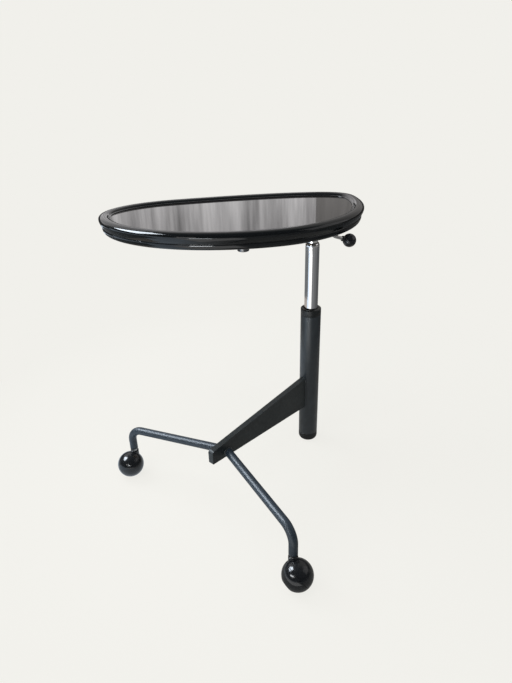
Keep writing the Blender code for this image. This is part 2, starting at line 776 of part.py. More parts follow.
def top_panel():
    outline = top_outline(RIM_LIP + SEAT)
    flat_piece("top_panel", outline, PANEL_THICKNESS, "gloss_black", parent=top_axis,
               location=(0, 0, PANEL_BOTTOM + PANEL_THICKNESS / 2))


def rim_section():
    # Points as (inset, height from the crest), round the section from the crest outwards
    crown = arc((RIM_CREST, -RIM_CROWN), (RIM_CREST, RIM_CROWN), math.pi / 2, math.pi)
    groove_bottom = RIM_BEAD + RIM_GROOVE_HEIGHT
    foot_round = arc((RIM_FOOT_STEP + RIM_FOOT_WIDTH, -RIM_HEIGHT + RIM_FOOT_ROUND),
                     (RIM_FOOT_WIDTH, RIM_FOOT_ROUND), math.pi, 1.5 * math.pi, ARC_STEPS // 2)
    lip_bottom = CREST - BOARD_TOP - SEAT
    return [
        *crown[::2],
        (RIM_TUCK / 4, -(RIM_CROWN + RIM_BEAD) / 2),
        (RIM_TUCK, -RIM_BEAD),
        (RIM_GROOVE, -(RIM_BEAD + groove_bottom) / 2),
        (RIM_FOOT_STEP, -groove_bottom),
        *foot_round,
        (RIM_SKIRT, -RIM_HEIGHT),
        (RIM_SKIRT, -lip_bottom),
        (RIM_LIP, -lip_bottom),
        (RIM_LIP, -TRAY_DEPTH),
    ]


def edge_rim():
    rings = [[(x, y, height) for x, y in top_outline(inset)] for inset, height in rim_section()]
    ringed("edge_rim", rings, "rim_black", parent=top_axis, location=(0, 0, CREST))


# Head that joins the gas spring to the board


def head_hub():
    profile = [
        (cone_radius(HUB_TOP) + SEAT, HUB_TOP),
        (HUB_RADIUS, HUB_TOP),
        (HUB_RADIUS, HUB_BOTTOM + HUB_CHAMFER),
        (HUB_RADIUS - HUB_CHAMFER, HUB_BOTTOM),
        (cone_radius(HUB_BOTTOM) + SEAT, HUB_BOTTOM),
    ]
    turned("head_hub", profile, "plate_paint", ring=True, parent=top_axis)


def head_plate():
    discs = [
        (PLATE_END_REACH, 0, PLATE_END_RADIUS),
        (PLATE_INNER_X, PLATE_INNER_Y, PLATE_ARM_RADIUS),
        (BOSS_X, 0, PLATE_ARM_RADIUS),
    ]
    plate = flat_piece("head_plate", hull_outline(discs), PLATE_THICKNESS, "plate_paint", parent=top_axis,
                       location=(0, 0, PLATE_BOTTOM + PLATE_THICKNESS / 2))
    through = 3 * PLATE_THICKNESS
    combine(plate, round_cutter("cone_hole", PLATE_HOLE, through, top_axis, (0, 0, PLATE_TOP)))
    slot_length = 2 * (PLATE_END_REACH + PLATE_END_RADIUS)
    combine(plate, box_cutter("lever_slot", (slot_length, LEVER_SLOT, through), top_axis,
                              (slot_length / 2, 0, PLATE_TOP)))
    for i, (x, y, radius) in enumerate(fixing_holes()):
        hole = round_cutter(f"plate_hole_{i}", radius, through, top_axis, (x, y, PLATE_TOP), steps=FEW_STEPS)
        combine(plate, hole)


def fastener_profile(head_radius, head_height, rounding, shank_radius):
    head_top = PLATE_BOTTOM - SEAT
    head_bottom = head_top - head_height
    shank_top = BOARD_BOTTOM + STUD_DEPTH
    edge = arc((head_radius - rounding, head_bottom + rounding), (rounding, rounding), 0, -math.pi / 2,
               ARC_STEPS // 2)
    return [
        (0, shank_top),
        (shank_radius, shank_top),
        (shank_radius, head_top),
        (head_radius, head_top),
        *edge,
        (0, head_bottom),
    ]


def head_screws():
    profile = fastener_profile(SCREW_HEAD_RADIUS, SCREW_HEAD_HEIGHT, SCREW_HEAD_HEIGHT / 2, SCREW_RADIUS)
    for name, (x, y) in zip(("head_screw_near", "head_screw_far", "head_screw_inner"), screw_places()):
        turned(name, profile, "bright_steel", steps=FEW_STEPS, parent=top_axis, location=(x, y, 0))


def support_boss():
    profile = fastener_profile(BOSS_RADIUS, BOSS_HEIGHT, BOSS_ROUND, BOSS_STUD_RADIUS)
    turned("support_boss", profile, "chrome", steps=SMALL_STEPS, parent=top_axis, location=(BOSS_X, 0, 0))


# Release lever


def bracket_width():
    return 2 * (LEVER_RADIUS + BRACKET_SIDE_GAP + BRACKET_EAR)


def crank_slope():
    return math.atan2(LEVER_KNEE_DROP, LEVER_KNEE_X - LEVER_BEND_X)


def knob_slope():
    return math.atan2(KNOB_DROP - LEVER_KNEE_DROP, KNOB_X - LEVER_KNEE_X)


def lever_exit():
    # Where the falling rod's upper side has cleared the board's underside
    fall = LEVER_AXIS - BOARD_BOTTOM + LEVER_RADIUS / math.cos(crank_slope())
    return LEVER_BEND_X + fall / math.tan(crank_slope()) + LEVER_LIFT


def lever_bracket():
    height = BRACKET_TOP - BRACKET_BOTTOM
    shape = bmesh.new()
    bmesh.ops.create_cube(shape, size=1)
    bmesh.ops.scale(shape, vec=(BRACKET_LENGTH, bracket_width(), height), verts=shape.verts)
    mesh = bpy.data.meshes.new("lever_bracket")
    shape.to_mesh(mesh)
    shape.free()
    bracket = place("lever_bracket", mesh, "bright_steel", parent=top_axis,
                    location=(LEVER_PIVOT_X, 0, BRACKET_BOTTOM + height / 2))
    channel_floor = BRACKET_BOTTOM + BRACKET_BASE
    gap = 2 * (LEVER_RADIUS + BRACKET_SIDE_GAP)
    combine(bracket, box_cutter("bracket_channel", (2 * BRACKET_LENGTH, gap, 2 * height), top_axis,
                                (LEVER_PIVOT_X, 0, channel_floor + height)))
    combine(bracket, round_cutter("bracket_holes", PIVOT_RADIUS + SEAT, 2 * bracket_width(), lever_pivot,
                                  turn=(math.pi / 2, 0, 0), steps=FEW_STEPS))


def lever_pivot_pin():
    half = bracket_width() / 2
    profile = [(0, half), (PIVOT_RADIUS, half), (PIVOT_RADIUS, -half), (0, -half)]
    turned("lever_pivot_pin", profile, "bright_steel", steps=FEW_STEPS, parent=lever_pivot,
           turn=(math.pi / 2, 0, 0))


def lever_rod():
    slope = knob_slope()
    bend = Vector((LEVER_BEND_X - LEVER_PIVOT_X, 0, 0))
    knee = Vector((LEVER_KNEE_X - LEVER_PIVOT_X, 0, -LEVER_KNEE_DROP))
    knob = Vector((KNOB_X - LEVER_PIVOT_X, 0, -KNOB_DROP))
    tip = knob + Vector((math.cos(slope), 0, -math.sin(slope))) * (KNOB_SOCKET - SEAT)
    path = filleted(((-LEVER_TAIL, 0, 0), bend, knee, tip), LEVER_BEND_RADIUS, ARC_STEPS // 2)
    rod = bar("lever_rod", path, LEVER_RADIUS, 4, "bright_steel", parent=lever_pivot)
    combine(rod, round_cutter("lever_eye", PIVOT_RADIUS + RUN, 4 * LEVER_RADIUS, lever_pivot,
                              turn=(math.pi / 2, 0, 0), steps=FEW_STEPS))


def lever_grip():
    knob_place = (KNOB_X - LEVER_PIVOT_X, 0, -KNOB_DROP)
    along = (0, math.pi / 2 + knob_slope(), 0)
    bore = LEVER_RADIUS + SEAT
    ball = arc((0, 0), (KNOB_RADIUS, KNOB_RADIUS), math.pi / 2, math.asin(-KNOB_FLAT / KNOB_RADIUS),
               KNOB_STEPS)
    knob = [*ball, (bore, -KNOB_FLAT), (bore, KNOB_SOCKET), (0, KNOB_SOCKET)]
    turned("lever_knob", knob, "gloss_black", steps=SMALL_STEPS, parent=lever_pivot, location=knob_place,
           turn=along)
    neck_top = -KNOB_FLAT - SEAT
    neck_bottom = neck_top - NECK_LENGTH
    neck = [(bore, neck_top), (NECK_RADIUS, neck_top), (NECK_RADIUS, neck_bottom), (bore, neck_bottom)]
    turned("lever_neck", neck, "black_plastic", ring=True, steps=SMALL_STEPS, parent=lever_pivot,
           location=knob_place, turn=along)


def shade_round():
    # Takes each piece as its modifiers leave it, smooth except at its real edges
    bpy.context.view_layer.update()
    graph = bpy.context.evaluated_depsgraph_get()
    pieces = [piece for piece in table.objects if piece.type == "MESH"]
    shaped = [bpy.data.meshes.new_from_object(piece.evaluated_get(graph)) for piece in pieces]
    for piece, mesh in zip(pieces, shaped):
        piece.modifiers.clear()
        piece.data = mesh
        mesh.shade_smooth()
        mesh.set_sharp_from_angle(angle=SMOOTH_ANGLE)


top_axis = axis_empty("top_axis", turn=(0, 0, TOP_SWIVEL))
lever_pivot = axis_empty("lever_pivot", (LEVER_PIVOT_X, 0, LEVER_AXIS), parent=top_axis)

column_tube()
column_collar()
column_foot()
rod_seat()
piston_rod()
rod_fittings()
gas_cylinder()
cylinder_gland()
release_pin()
arm_plate()
for side, sign in (("left", -1), ("right", 1)):
    leg(side, sign)
    castor(side, sign)
top_board()
top_panel()
edge_rim()
head_hub()
head_plate()
head_screws()
support_boss()
lever_bracket()
lever_pivot_pin()
lever_rod()
lever_grip()
shade_round()
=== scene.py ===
import json
import math

import bmesh
import bpy
from mathutils import Matrix, Quaternion, Vector


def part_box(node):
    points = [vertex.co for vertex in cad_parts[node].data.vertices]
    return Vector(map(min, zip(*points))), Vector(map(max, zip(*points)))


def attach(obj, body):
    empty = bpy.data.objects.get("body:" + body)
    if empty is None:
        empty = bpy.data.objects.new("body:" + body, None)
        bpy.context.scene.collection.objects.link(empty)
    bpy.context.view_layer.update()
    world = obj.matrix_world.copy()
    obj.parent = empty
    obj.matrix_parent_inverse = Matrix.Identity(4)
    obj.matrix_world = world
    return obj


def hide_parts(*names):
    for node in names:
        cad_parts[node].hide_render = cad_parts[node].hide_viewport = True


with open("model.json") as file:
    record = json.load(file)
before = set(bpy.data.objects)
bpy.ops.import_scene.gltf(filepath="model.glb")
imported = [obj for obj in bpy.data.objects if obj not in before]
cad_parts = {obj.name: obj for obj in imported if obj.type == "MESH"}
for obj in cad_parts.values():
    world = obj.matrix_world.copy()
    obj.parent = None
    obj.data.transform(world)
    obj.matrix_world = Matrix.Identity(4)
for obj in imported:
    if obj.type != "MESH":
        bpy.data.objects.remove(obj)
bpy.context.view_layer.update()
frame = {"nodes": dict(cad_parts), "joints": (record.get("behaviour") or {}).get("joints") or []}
nodes = frame["nodes"]
joints = {joint["name"]: joint for joint in frame["joints"]}
scene = bpy.context.scene
scene.view_settings.view_transform = "Standard"

photoCamera = {
    "place": (0.58108, -0.81495, 0.7641),
    "aim": (-0.59784, 0.65974, -0.45538),
    "roll": -0.0276,
    "lens": 27.305,
    "sensor": 36.0,
}


def addCamera():
    data = bpy.data.cameras.new("photoCamera")
    data.sensor_fit = "AUTO"
    data.sensor_width = photoCamera["sensor"]
    data.lens = photoCamera["lens"]
    camera = bpy.data.objects.new("photoCamera", data)
    scene.collection.objects.link(camera)
    camera.location = photoCamera["place"]
    camera.rotation_mode = "QUATERNION"
    level = Vector(photoCamera["aim"]).to_track_quat("-Z", "Y")
    camera.rotation_quaternion = level @ Quaternion((0, 0, 1), photoCamera["roll"])
    scene.camera = camera


addCamera()
print("camera set")


# mesh making

smoothAngle = 38  # degrees; faces that meet at less are shaded as one
sideShare = 0.48  # a rounding takes at most this much of a side
poleRadius = 1e-6  # a ring smaller than this is one point


def roundedLine(corners, closed=False, steps=5):
    # corners are (across, up, rounding)
    line = []
    for i, (x, y, rounding) in enumerate(corners):
        here = Vector((x, y))
        isEnd = not closed and i in (0, len(corners) - 1)
        if rounding <= 0 or isEnd:
            line.append(here)
            continue
        before = Vector(corners[i - 1][:2]) - here
        after = Vector(corners[(i + 1) % len(corners)][:2]) - here
        half = before.angle(after) / 2
        reach = min(rounding / math.tan(half), sideShare * before.length, sideShare * after.length)
        radius = reach * math.tan(half)
        before.normalize()
        after.normalize()
        centre = here + (before + after).normalized() * radius / math.sin(half)
        first = here + before * reach - centre
        last = here + after * reach - centre
        sweep = first.angle(last)
        for k in range(steps + 1):
            part = sweep * k / steps
            spoke = (first * math.sin(sweep - part) + last * math.sin(part)) / math.sin(sweep)
            line.append(centre + spoke)
    return line


def arcLine(centre, radii, start, end, steps=24):
    turns = [start + (end - start) * i / steps for i in range(steps + 1)]
    return [Vector((centre[0] + radii[0] * math.cos(turn), centre[1] + radii[1] * math.sin(turn)))
            for turn in turns]


def meshFrom(shape, name, matrix=None, sharp=smoothAngle):
    bmesh.ops.recalc_face_normals(shape, faces=shape.faces)
    mesh = bpy.data.meshes.new(name)
    shape.to_mesh(mesh)
    shape.free()
    if matrix is not None:
        mesh.transform(matrix)
    mesh.shade_smooth()
    mesh.set_sharp_from_angle(angle=math.radians(sharp))
    return mesh


def skin(shape, lower, upper):
    # faces between two rings, where a ring of one point is a pole
    count = max(len(lower), len(upper))
    for i in range(count):
        j = (i + 1) % count
        if len(lower) == 1:
            shape.faces.new((lower[0], upper[j], upper[i]))
        elif len(upper) == 1:
            shape.faces.new((lower[i], lower[j], upper[0]))
        else:
            shape.faces.new((lower[i], lower[j], upper[j], upper[i]))


def turnedMesh(name, line, steps=96, closed=False, matrix=None, sharp=smoothAngle):
    shape = bmesh.new()
    turns = [(math.cos(math.tau * i / steps), math.sin(math.tau * i / steps)) for i in range(steps)]
    rings = []
    for radius, height in line:
        if radius < poleRadius:
            rings.append([shape.verts.new((0, 0, height))])
        else:
            rings.append([shape.verts.new((radius * c, radius * s, height)) for c, s in turns])
    for lower, upper in zip(rings, rings[1:]):
        skin(shape, lower, upper)
    if closed:
        skin(shape, rings[-1], rings[0])
    return meshFrom(shape, name, matrix, sharp)


def bentPath(corners, radius, steps=20):
    # a path through the corners, each inner one rounded
    points = [Vector(corner) for corner in corners]
    path = [points[0]]
    for before, corner, after in zip(points, points[1:], points[2:]):
        incoming = (corner - before).normalized()
        outgoing = (after - corner).normalized()
        turn = incoming.angle(outgoing)
        side = (outgoing - incoming * incoming.dot(outgoing)).normalized()
        centre = corner - incoming * radius * math.tan(turn / 2) + side * radius
        for i in range(steps + 1):
            angle = turn * i / steps
            path.append(centre + radius * (incoming * math.sin(angle) - side * math.cos(angle)))
    path.append(points[-1])
    return path


def tubeRings(path, radii, sides, firstNormal, cyclic=False):
    # rings round a path, carried along it without twist
    normal = Vector(firstNormal)
    rings = []
    count = len(path)
    for i, point in enumerate(path):
        after = path[(i + 1) % count] if cyclic else path[min(i + 1, count - 1)]
        before = path[i - 1] if cyclic else path[max(i - 1, 0)]
        tangent = (after - before).normalized()
        normal = (normal - tangent * normal.dot(tangent)).normalized()
        side = tangent.cross(normal)
        radius = radii[i] if isinstance(radii, list) else radii
        turns = [math.tau * k / sides for k in range(sides)]
        rings.append([point + radius * (normal * math.cos(a) + side * math.sin(a)) for a in turns])
    return rings


def ringsMesh(name, rings, cyclic=False, matrix=None, sharp=smoothAngle):
    shape = bmesh.new()
    made = [[shape.verts.new(p) for p in ring] for ring in rings]
    for lower, upper in zip(made, made[1:]):
        skin(shape, lower, upper)
    if cyclic:
        skin(shape, made[-1], made[0])
    else:
        shape.faces.new(made[0])
        shape.faces.new(list(reversed(made[-1])))
    return meshFrom(shape, name, matrix, sharp)


def cutMesh(mesh, cutter, operation="DIFFERENCE", sharp=smoothAngle):
    # one boolean, applied
    body = bpy.data.objects.new("cutBody", mesh)
    tool = bpy.data.objects.new("cutTool", cutter)
    scene.collection.objects.link(body)
    scene.collection.objects.link(tool)
    boolean = body.modifiers.new("cut", "BOOLEAN")
    boolean.operation = operation
    boolean.solver = "EXACT"
    boolean.object = tool
    bpy.context.view_layer.update()
    graph = bpy.context.evaluated_depsgraph_get()
    result = bpy.data.meshes.new_from_object(body.evaluated_get(graph))
    bpy.data.objects.remove(body)
    bpy.data.objects.remove(tool)
    result.name = mesh.name
    result.shade_smooth()
    result.set_sharp_from_angle(angle=math.radians(sharp))
    return result


def addPiece(name, mesh, body, finish, slotName, *replaced):
    piece = bpy.data.objects.new(name, mesh)
    scene.collection.objects.link(piece)
    mesh.materials.clear()
    mesh.materials.append(finish)
    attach(piece, body)
    if replaced:
        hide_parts(*replaced)
    return piece


# effects shared by the finishes

def newGroup(name, inputs, outputs):
    group = bpy.data.node_groups.new(name, "ShaderNodeTree")
    for label, value in inputs.items():
        kind = "NodeSocketVector" if isinstance(value, tuple) else "NodeSocketFloat"
        socket = group.interface.new_socket(name=label, in_out="INPUT", socket_type=kind)
        socket.default_value = value
    for label in outputs:
        group.interface.new_socket(name=label, in_out="OUTPUT", socket_type="NodeSocketFloat")
    return group, group.nodes.new("NodeGroupInput"), group.nodes.new("NodeGroupOutput")


def addNode(tree, kind, **settings):
    node = tree.nodes.new(kind)
    for key, value in settings.items():
        setattr(node, key, value)
    return node


def noiseNode(tree, coordinates, scale, detail=3.0, roughness=0.55, distortion=0.0):
    noise = addNode(tree, "ShaderNodeTexNoise")
    tree.links.new(coordinates, noise.inputs["Vector"])
    if isinstance(scale, (int, float)):
        noise.inputs["Scale"].default_value = scale
    else:
        tree.links.new(scale, noise.inputs["Scale"])
    noise.inputs["Detail"].default_value = detail
    noise.inputs["Roughness"].default_value = roughness
    noise.inputs["Distortion"].default_value = distortion
    return noise.outputs["Fac"]


def mathNode(tree, operation, first, second, clamp=False):
    node = addNode(tree, "ShaderNodeMath", operation=operation, use_clamp=clamp)
    for socket, value in zip(node.inputs, (first, second)):
        if isinstance(value, (int, float)):
            socket.default_value = value
        else:
            tree.links.new(value, socket)
    return node.outputs[0]


def rangeNode(tree, value, fromLow, fromHigh, toLow=0.0, toHigh=1.0):
    node = addNode(tree, "ShaderNodeMapRange")
    tree.links.new(value, node.inputs["Value"])
    limits = {"From Min": fromLow, "From Max": fromHigh, "To Min": toLow, "To Max": toHigh}
    for label, limit in limits.items():
        node.inputs[label].default_value = limit
    return node.outputs["Result"]


def objectPlace(tree):
    return addNode(tree, "ShaderNodeTexCoord").outputs["Object"]


def makeSurfaceGrain():
    # fine height for bump, and a slow drift of tone
    group, source, result = newGroup("surfaceGrain", {"Scale": 400.0}, ["Height", "Tone"])
    slowShare = 0.06
    place = objectPlace(group)
    height = noiseNode(group, place, source.outputs["Scale"], detail=3.0)
    slow = mathNode(group, "MULTIPLY", source.outputs["Scale"], slowShare)
    tone = rangeNode(group, noiseNode(group, place, slow, detail=4.0), fromLow=0.32, fromHigh=0.68)
    group.links.new(height, result.inputs["Height"])
    group.links.new(tone, result.inputs["Tone"])
    return group


def makeHandMarks():
    # soft smears, for the roughness
    group, source, result = newGroup("handMarks", {"Scale": 30.0}, ["Smear"])
    cloud = noiseNode(group, objectPlace(group), source.outputs["Scale"], detail=5.0, roughness=0.6,
                      distortion=1.2)
    group.links.new(rangeNode(group, cloud, fromLow=0.38, fromHigh=0.70), result.inputs["Smear"])
    return group


def makeFallenDust():
    # more on what faces up, broken by noise
    group, source, result = newGroup("fallenDust", {"Scale": 60.0, "Amount": 0.1}, ["Mask"])
    place = objectPlace(group)
    facing = addNode(group, "ShaderNodeSeparateXYZ")
    group.links.new(addNode(group, "ShaderNodeNewGeometry").outputs["Normal"], facing.inputs[0])
    upward = rangeNode(group, facing.outputs["Z"], fromLow=0.15, fromHigh=1.0)
    cloud = noiseNode(group, place, source.outputs["Scale"], detail=6.0, roughness=0.65)
    broken = rangeNode(group, cloud, fromLow=0.35, fromHigh=0.75, toLow=0.1)
    mask = mathNode(group, "MULTIPLY", upward, broken)
    mask = mathNode(group, "MULTIPLY", mask, source.outputs["Amount"], clamp=True)
    group.links.new(mask, result.inputs["Mask"])
    return group


def makeRubbedEdge():
    # convex edges, where paint gets rubbed
    group, source, result = newGroup("rubbedEdge", {"Amount": 0.4}, ["Mask"])
    place = objectPlace(group)
    point = addNode(group, "ShaderNodeNewGeometry").outputs["Pointiness"]
    edge = rangeNode(group, point, fromLow=0.52, fromHigh=0.62)
    cloud = noiseNode(group, place, scale=240.0, detail=4.0)
    broken = rangeNode(group, cloud, fromLow=0.40, fromHigh=0.62, toLow=0.15)
    mask = mathNode(group, "MULTIPLY", edge, broken)
    mask = mathNode(group, "MULTIPLY", mask, source.outputs["Amount"], clamp=True)
    group.links.new(mask, result.inputs["Mask"])
    return group


def makeDrawnLines():
    # fine lines along one direction, as polishing and drawing leave them
    group, source, result = newGroup("drawnLines", {"Stretch": (900, 900, 30)}, ["Lines"])
    stretched = addNode(group, "ShaderNodeVectorMath", operation="MULTIPLY")
    group.links.new(objectPlace(group), stretched.inputs[0])
    group.links.new(source.outputs["Stretch"], stretched.inputs[1])
    lines = noiseNode(group, stretched.outputs[0], scale=1.0, detail=2.0)
    group.links.new(lines, result.inputs["Lines"])
    return group


surfaceGrain = makeSurfaceGrain()
handMarks = makeHandMarks()
fallenDust = makeFallenDust()
rubbedEdge = makeRubbedEdge()
drawnLines = makeDrawnLines()


def groupNode(tree, group, **values):
    node = addNode(tree, "ShaderNodeGroup", node_tree=group)
    for label, value in values.items():
        node.inputs[label].default_value = value
    return node


def mixColours(tree, mask, first, second):
    node = addNode(tree, "ShaderNodeMix", data_type="RGBA")
    tree.links.new(mask, node.inputs[0])
    for socket, colour in zip((node.inputs[6], node.inputs[7]), (first, second)):
        if isinstance(colour, tuple):
            socket.default_value = (*colour, 1.0)
        else:
            tree.links.new(colour, socket)
    return node.outputs[2]


dustTone = (0.34, 0.33, 0.31)


def makeFinish(name, look):
    material = bpy.data.materials.new(name)
    material.use_nodes = True
    tree = material.node_tree
    surface = tree.nodes["Principled BSDF"]
    grain = groupNode(tree, surfaceGrain, Scale=look["grain"])
    colour = mixColours(tree, grain.outputs["Tone"], look["dark"], look["light"])
    if "rub" in look:
        rub = groupNode(tree, rubbedEdge, Amount=look["rub"])
        colour = mixColours(tree, rub.outputs["Mask"], colour, look["rubTone"])
    if "dust" in look:
        dust = groupNode(tree, fallenDust, Amount=look["dust"])
        colour = mixColours(tree, dust.outputs["Mask"], colour, dustTone)
    tree.links.new(colour, surface.inputs["Base Color"])
    marks = groupNode(tree, handMarks, Scale=look["marks"])
    shine = marks.outputs["Smear"]
    height = grain.outputs["Height"]
    if "stretch" in look:
        lines = groupNode(tree, drawnLines, Stretch=look["stretch"]).outputs["Lines"]
        shine = mathNode(tree, "MULTIPLY", mathNode(tree, "ADD", shine, lines), 0.5)  # their mean
        height = lines
    rough = rangeNode(tree, shine, 0.0, 1.0, *look["rough"])
    tree.links.new(rough, surface.inputs["Roughness"])
    bump = addNode(tree, "ShaderNodeBump")
    bump.inputs["Strength"].default_value = look["bump"]
    bump.inputs["Distance"].default_value = look["depth"]
    tree.links.new(height, bump.inputs["Height"])
    tree.links.new(bump.outputs["Normal"], surface.inputs["Normal"])
    surface.inputs["Metallic"].default_value = look.get("metal", 0.0)
    surface.inputs["IOR"].default_value = look.get("ior", 1.5)
    surface.inputs["Coat Weight"].default_value = look.get("coat", 0.0)
    surface.inputs["Coat Roughness"].default_value = look.get("coatRough", 0.05)
    return material


# finishes, one dictionary each

graphitePaint = makeFinish("graphitePaint", {
    "dark": (0.017, 0.024, 0.030), "light": (0.023, 0.031, 0.038), "grain": 900.0, "marks": 24.0,
    "rough": (0.32, 0.44), "bump": 0.04, "depth": 0.0004, "coat": 0.25, "coatRough": 0.14,
    "dust": 0.04, "rub": 0.25, "rubTone": (0.12, 0.13, 0.14)})

# the column's graphite paint tinted bluer: painted reflection of the bluish window light on the legs
legPaintWithPaintedReflection = makeFinish("legPaintWithPaintedReflection", {
    "dark": (0.017, 0.029, 0.043), "light": (0.022, 0.037, 0.055), "grain": 900.0, "marks": 26.0,
    "rough": (0.42, 0.47), "bump": 0.002, "depth": 0.0004,
    "rub": 0.05, "rubTone": (0.12, 0.13, 0.14)})

# the column's graphite paint made darker: painted shade for the plate and the other pieces in this paint
platePaintWithPaintedShade = makeFinish("platePaintWithPaintedShade", {
    "dark": (0.008, 0.0130, 0.0150), "light": (0.011, 0.0170, 0.0195), "grain": 900.0, "marks": 22.0,
    "rough": (0.36, 0.48), "bump": 0.05, "depth": 0.0004, "ior": 1.42,
    "dust": 0.02, "rub": 0.35, "rubTone": (0.13, 0.15, 0.16)})

weldPaint = makeFinish("weldPaint", {
    "dark": (0.018, 0.024, 0.029), "light": (0.025, 0.032, 0.038), "grain": 500.0, "marks": 60.0,
    "rough": (0.34, 0.50), "bump": 0.25, "depth": 0.0006, "coat": 0.2, "coatRough": 0.18, "dust": 0.06})

grainedPlastic = makeFinish("grainedPlastic", {
    "dark": (0.0045, 0.007, 0.0078), "light": (0.008, 0.0110, 0.012), "grain": 1600.0, "marks": 40.0,
    "rough": (0.34, 0.48), "bump": 0.22, "depth": 0.0003, "dust": 0.03})

ballPlastic = makeFinish("ballPlastic", {
    "dark": (0.006, 0.0075, 0.010), "light": (0.009, 0.0110, 0.014), "grain": 300.0, "marks": 70.0,
    "rough": (0.13, 0.22), "bump": 0.015, "depth": 0.0003, "dust": 0.03})

hoodBlack = makeFinish("hoodBlack", {
    "dark": (0.006, 0.0075, 0.010), "light": (0.009, 0.0110, 0.014), "grain": 340.0, "marks": 65.0,
    "rough": (0.14, 0.23), "bump": 0.02, "depth": 0.0003, "dust": 0.04})

rimLacquer = makeFinish("rimLacquer", {
    "dark": (0.004, 0.0055, 0.0068), "light": (0.006, 0.0075, 0.009), "grain": 90.0, "marks": 18.0,
    "rough": (0.06, 0.11), "bump": 0.004, "depth": 0.0003, "ior": 1.46, "dust": 0.008})

panelGloss = makeFinish("panelGloss", {
    "dark": (0.006, 0.0055, 0.0055), "light": (0.009, 0.008, 0.008), "grain": 120.0, "marks": 9.0,
    "rough": (0.025, 0.06), "bump": 0.004, "depth": 0.0006, "dust": 0.012})

polishedChrome = makeFinish("polishedChrome", {
    "dark": (0.74, 0.74, 0.75), "light": (0.80, 0.80, 0.80), "grain": 200.0, "marks": 45.0,
    "rough": (0.05, 0.13), "bump": 0.015, "depth": 0.0002, "metal": 1.0, "stretch": (1400, 1400, 25)})

# chrome made darker: painted shade for the boss tucked under the rim
chromeWithPaintedShade = makeFinish("chromeWithPaintedShade", {
    "dark": (0.15, 0.155, 0.16), "light": (0.22, 0.225, 0.23), "grain": 200.0, "marks": 80.0,
    "rough": (0.08, 0.20), "bump": 0.02, "depth": 0.0002, "metal": 1.0, "stretch": (1200, 1200, 40)})

drawnSteel = makeFinish("drawnSteel", {
    "dark": (0.50, 0.50, 0.50), "light": (0.62, 0.62, 0.61), "grain": 300.0, "marks": 60.0,
    "rough": (0.22, 0.38), "bump": 0.06, "depth": 0.0002, "metal": 1.0, "stretch": (900, 900, 60)})

softRubber = makeFinish("softRubber", {
    "dark": (0.012, 0.012, 0.012), "light": (0.020, 0.020, 0.020), "grain": 1200.0, "marks": 60.0,
    "rough": (0.70, 0.85), "bump": 0.2, "depth": 0.0003})

boardLook = {"dark": (0.16, 0.105, 0.06), "light": (0.44, 0.33, 0.21), "grain": 330.0, "marks": 30.0,
             "rough": (0.62, 0.80), "bump": 0.25, "depth": 0.0006}


def makeBoardFinish():
    # pressed chips: flat cells of different tones
    material = makeFinish("pressedBoard", boardLook)
    tree = material.node_tree
    cells = addNode(tree, "ShaderNodeTexVoronoi", feature="F1")
    cells.inputs["Scale"].default_value = boardLook["grain"]
    tree.links.new(objectPlace(tree), cells.inputs["Vector"])
    tone = addNode(tree, "ShaderNodeSeparateColor")
    tree.links.new(cells.outputs["Color"], tone.inputs[0])
    chips = mixColours(tree, tone.outputs[0], boardLook["dark"], boardLook["light"])
    tree.links.new(chips, tree.nodes["Principled BSDF"].inputs["Base Color"])
    return material


pressedBoard = makeBoardFinish()
print("finishes made:", len(bpy.data.materials))

# tabletop, in the frame that turns with it

topShape = {"turn": math.radians(56), "halfLength": 0.2887, "nearDepth": 0.2422, "nearShift": 0.0342,
            "farDepth": 0.1068, "farShift": -0.1248, "round": 0.040, "middle": (-0.1161, 0.1911),
            "points": 312}
topTurn = Matrix.Rotation(topShape["turn"], 4, "Z")


def topOutline(inset):
    # a deep half towards the column and a flat half away from it, each widest at its own shift
    middle = Vector(topShape["middle"])
    outline = []
    for i in range(topShape["points"]):
        turn = math.tau * i / topShape["points"]
        along, across = math.cos(turn), math.sin(turn)
        half = "far" if across > 0 else "near"
        shift = topShape[half + "Shift"]
        reach = topShape["halfLength"] - topShape["round"] - (shift if along > 0 else -shift)
        rise = topShape[half + "Depth"] - topShape["round"]
        spot = Vector((along * math.sqrt(reach), across * math.sqrt(rise))).normalized()
        outward = Vector((spot.x / reach, spot.y / rise)).normalized()
        point = Vector((shift + reach * spot.x, rise * spot.y))
        outline.append(middle + point + outward * (topShape["round"] - inset))
    return outline


# rim section in mm: (in from the outermost line, down from the crest), crown and foot as (centre, radii)
rimSection = {
    "lip": [(26.0, 7.0), (26.0, 6.0), (25.85, 5.6), (25.45, 5.32), (24.9, 5.2), (24.3, 5.22),
            (23.9, 5.26)],
    "slope": [(23.0, 4.5), (21.8, 3.35), (20.4, 2.25), (18.9, 1.35), (17.2, 0.65), (15.2, 0.17),
              (13.9, 0.03)],
    "crown": ((13.0, 8.9), (13.0, 8.9)),
    "side": [(0.1, 10.0), (0.45, 11.6), (1.0, 13.4), (1.75, 15.4), (2.6, 17.4), (3.5, 19.4), (4.2, 20.6)],
    "groove": [(4.9, 21.1), (5.25, 21.65), (5.15, 22.3)],
    "bead": [(4.9, 22.65), (4.72, 23.1)],
    "foot": ((9.0, 24.2), (4.32, 9.2)),
    "back": [(9.5, 33.4), (9.5, 6.0)],
    "raise": 2.2,
}


def rimLine():
    crownCentre, crownSize = rimSection["crown"]
    crown = arcLine(crownCentre, (crownSize[0], -crownSize[1]), math.pi / 2, math.pi, steps=14)
    footCentre, footSize = rimSection["foot"]
    foot = arcLine(footCentre, footSize, math.pi, math.pi / 2, steps=8)
    line = []
    for part in (rimSection["lip"], rimSection["slope"], crown, rimSection["side"], rimSection["groove"],
                 rimSection["bead"], foot, rimSection["back"]):
        line += [(inset / 1000, depth / 1000) for inset, depth in part]
    return line


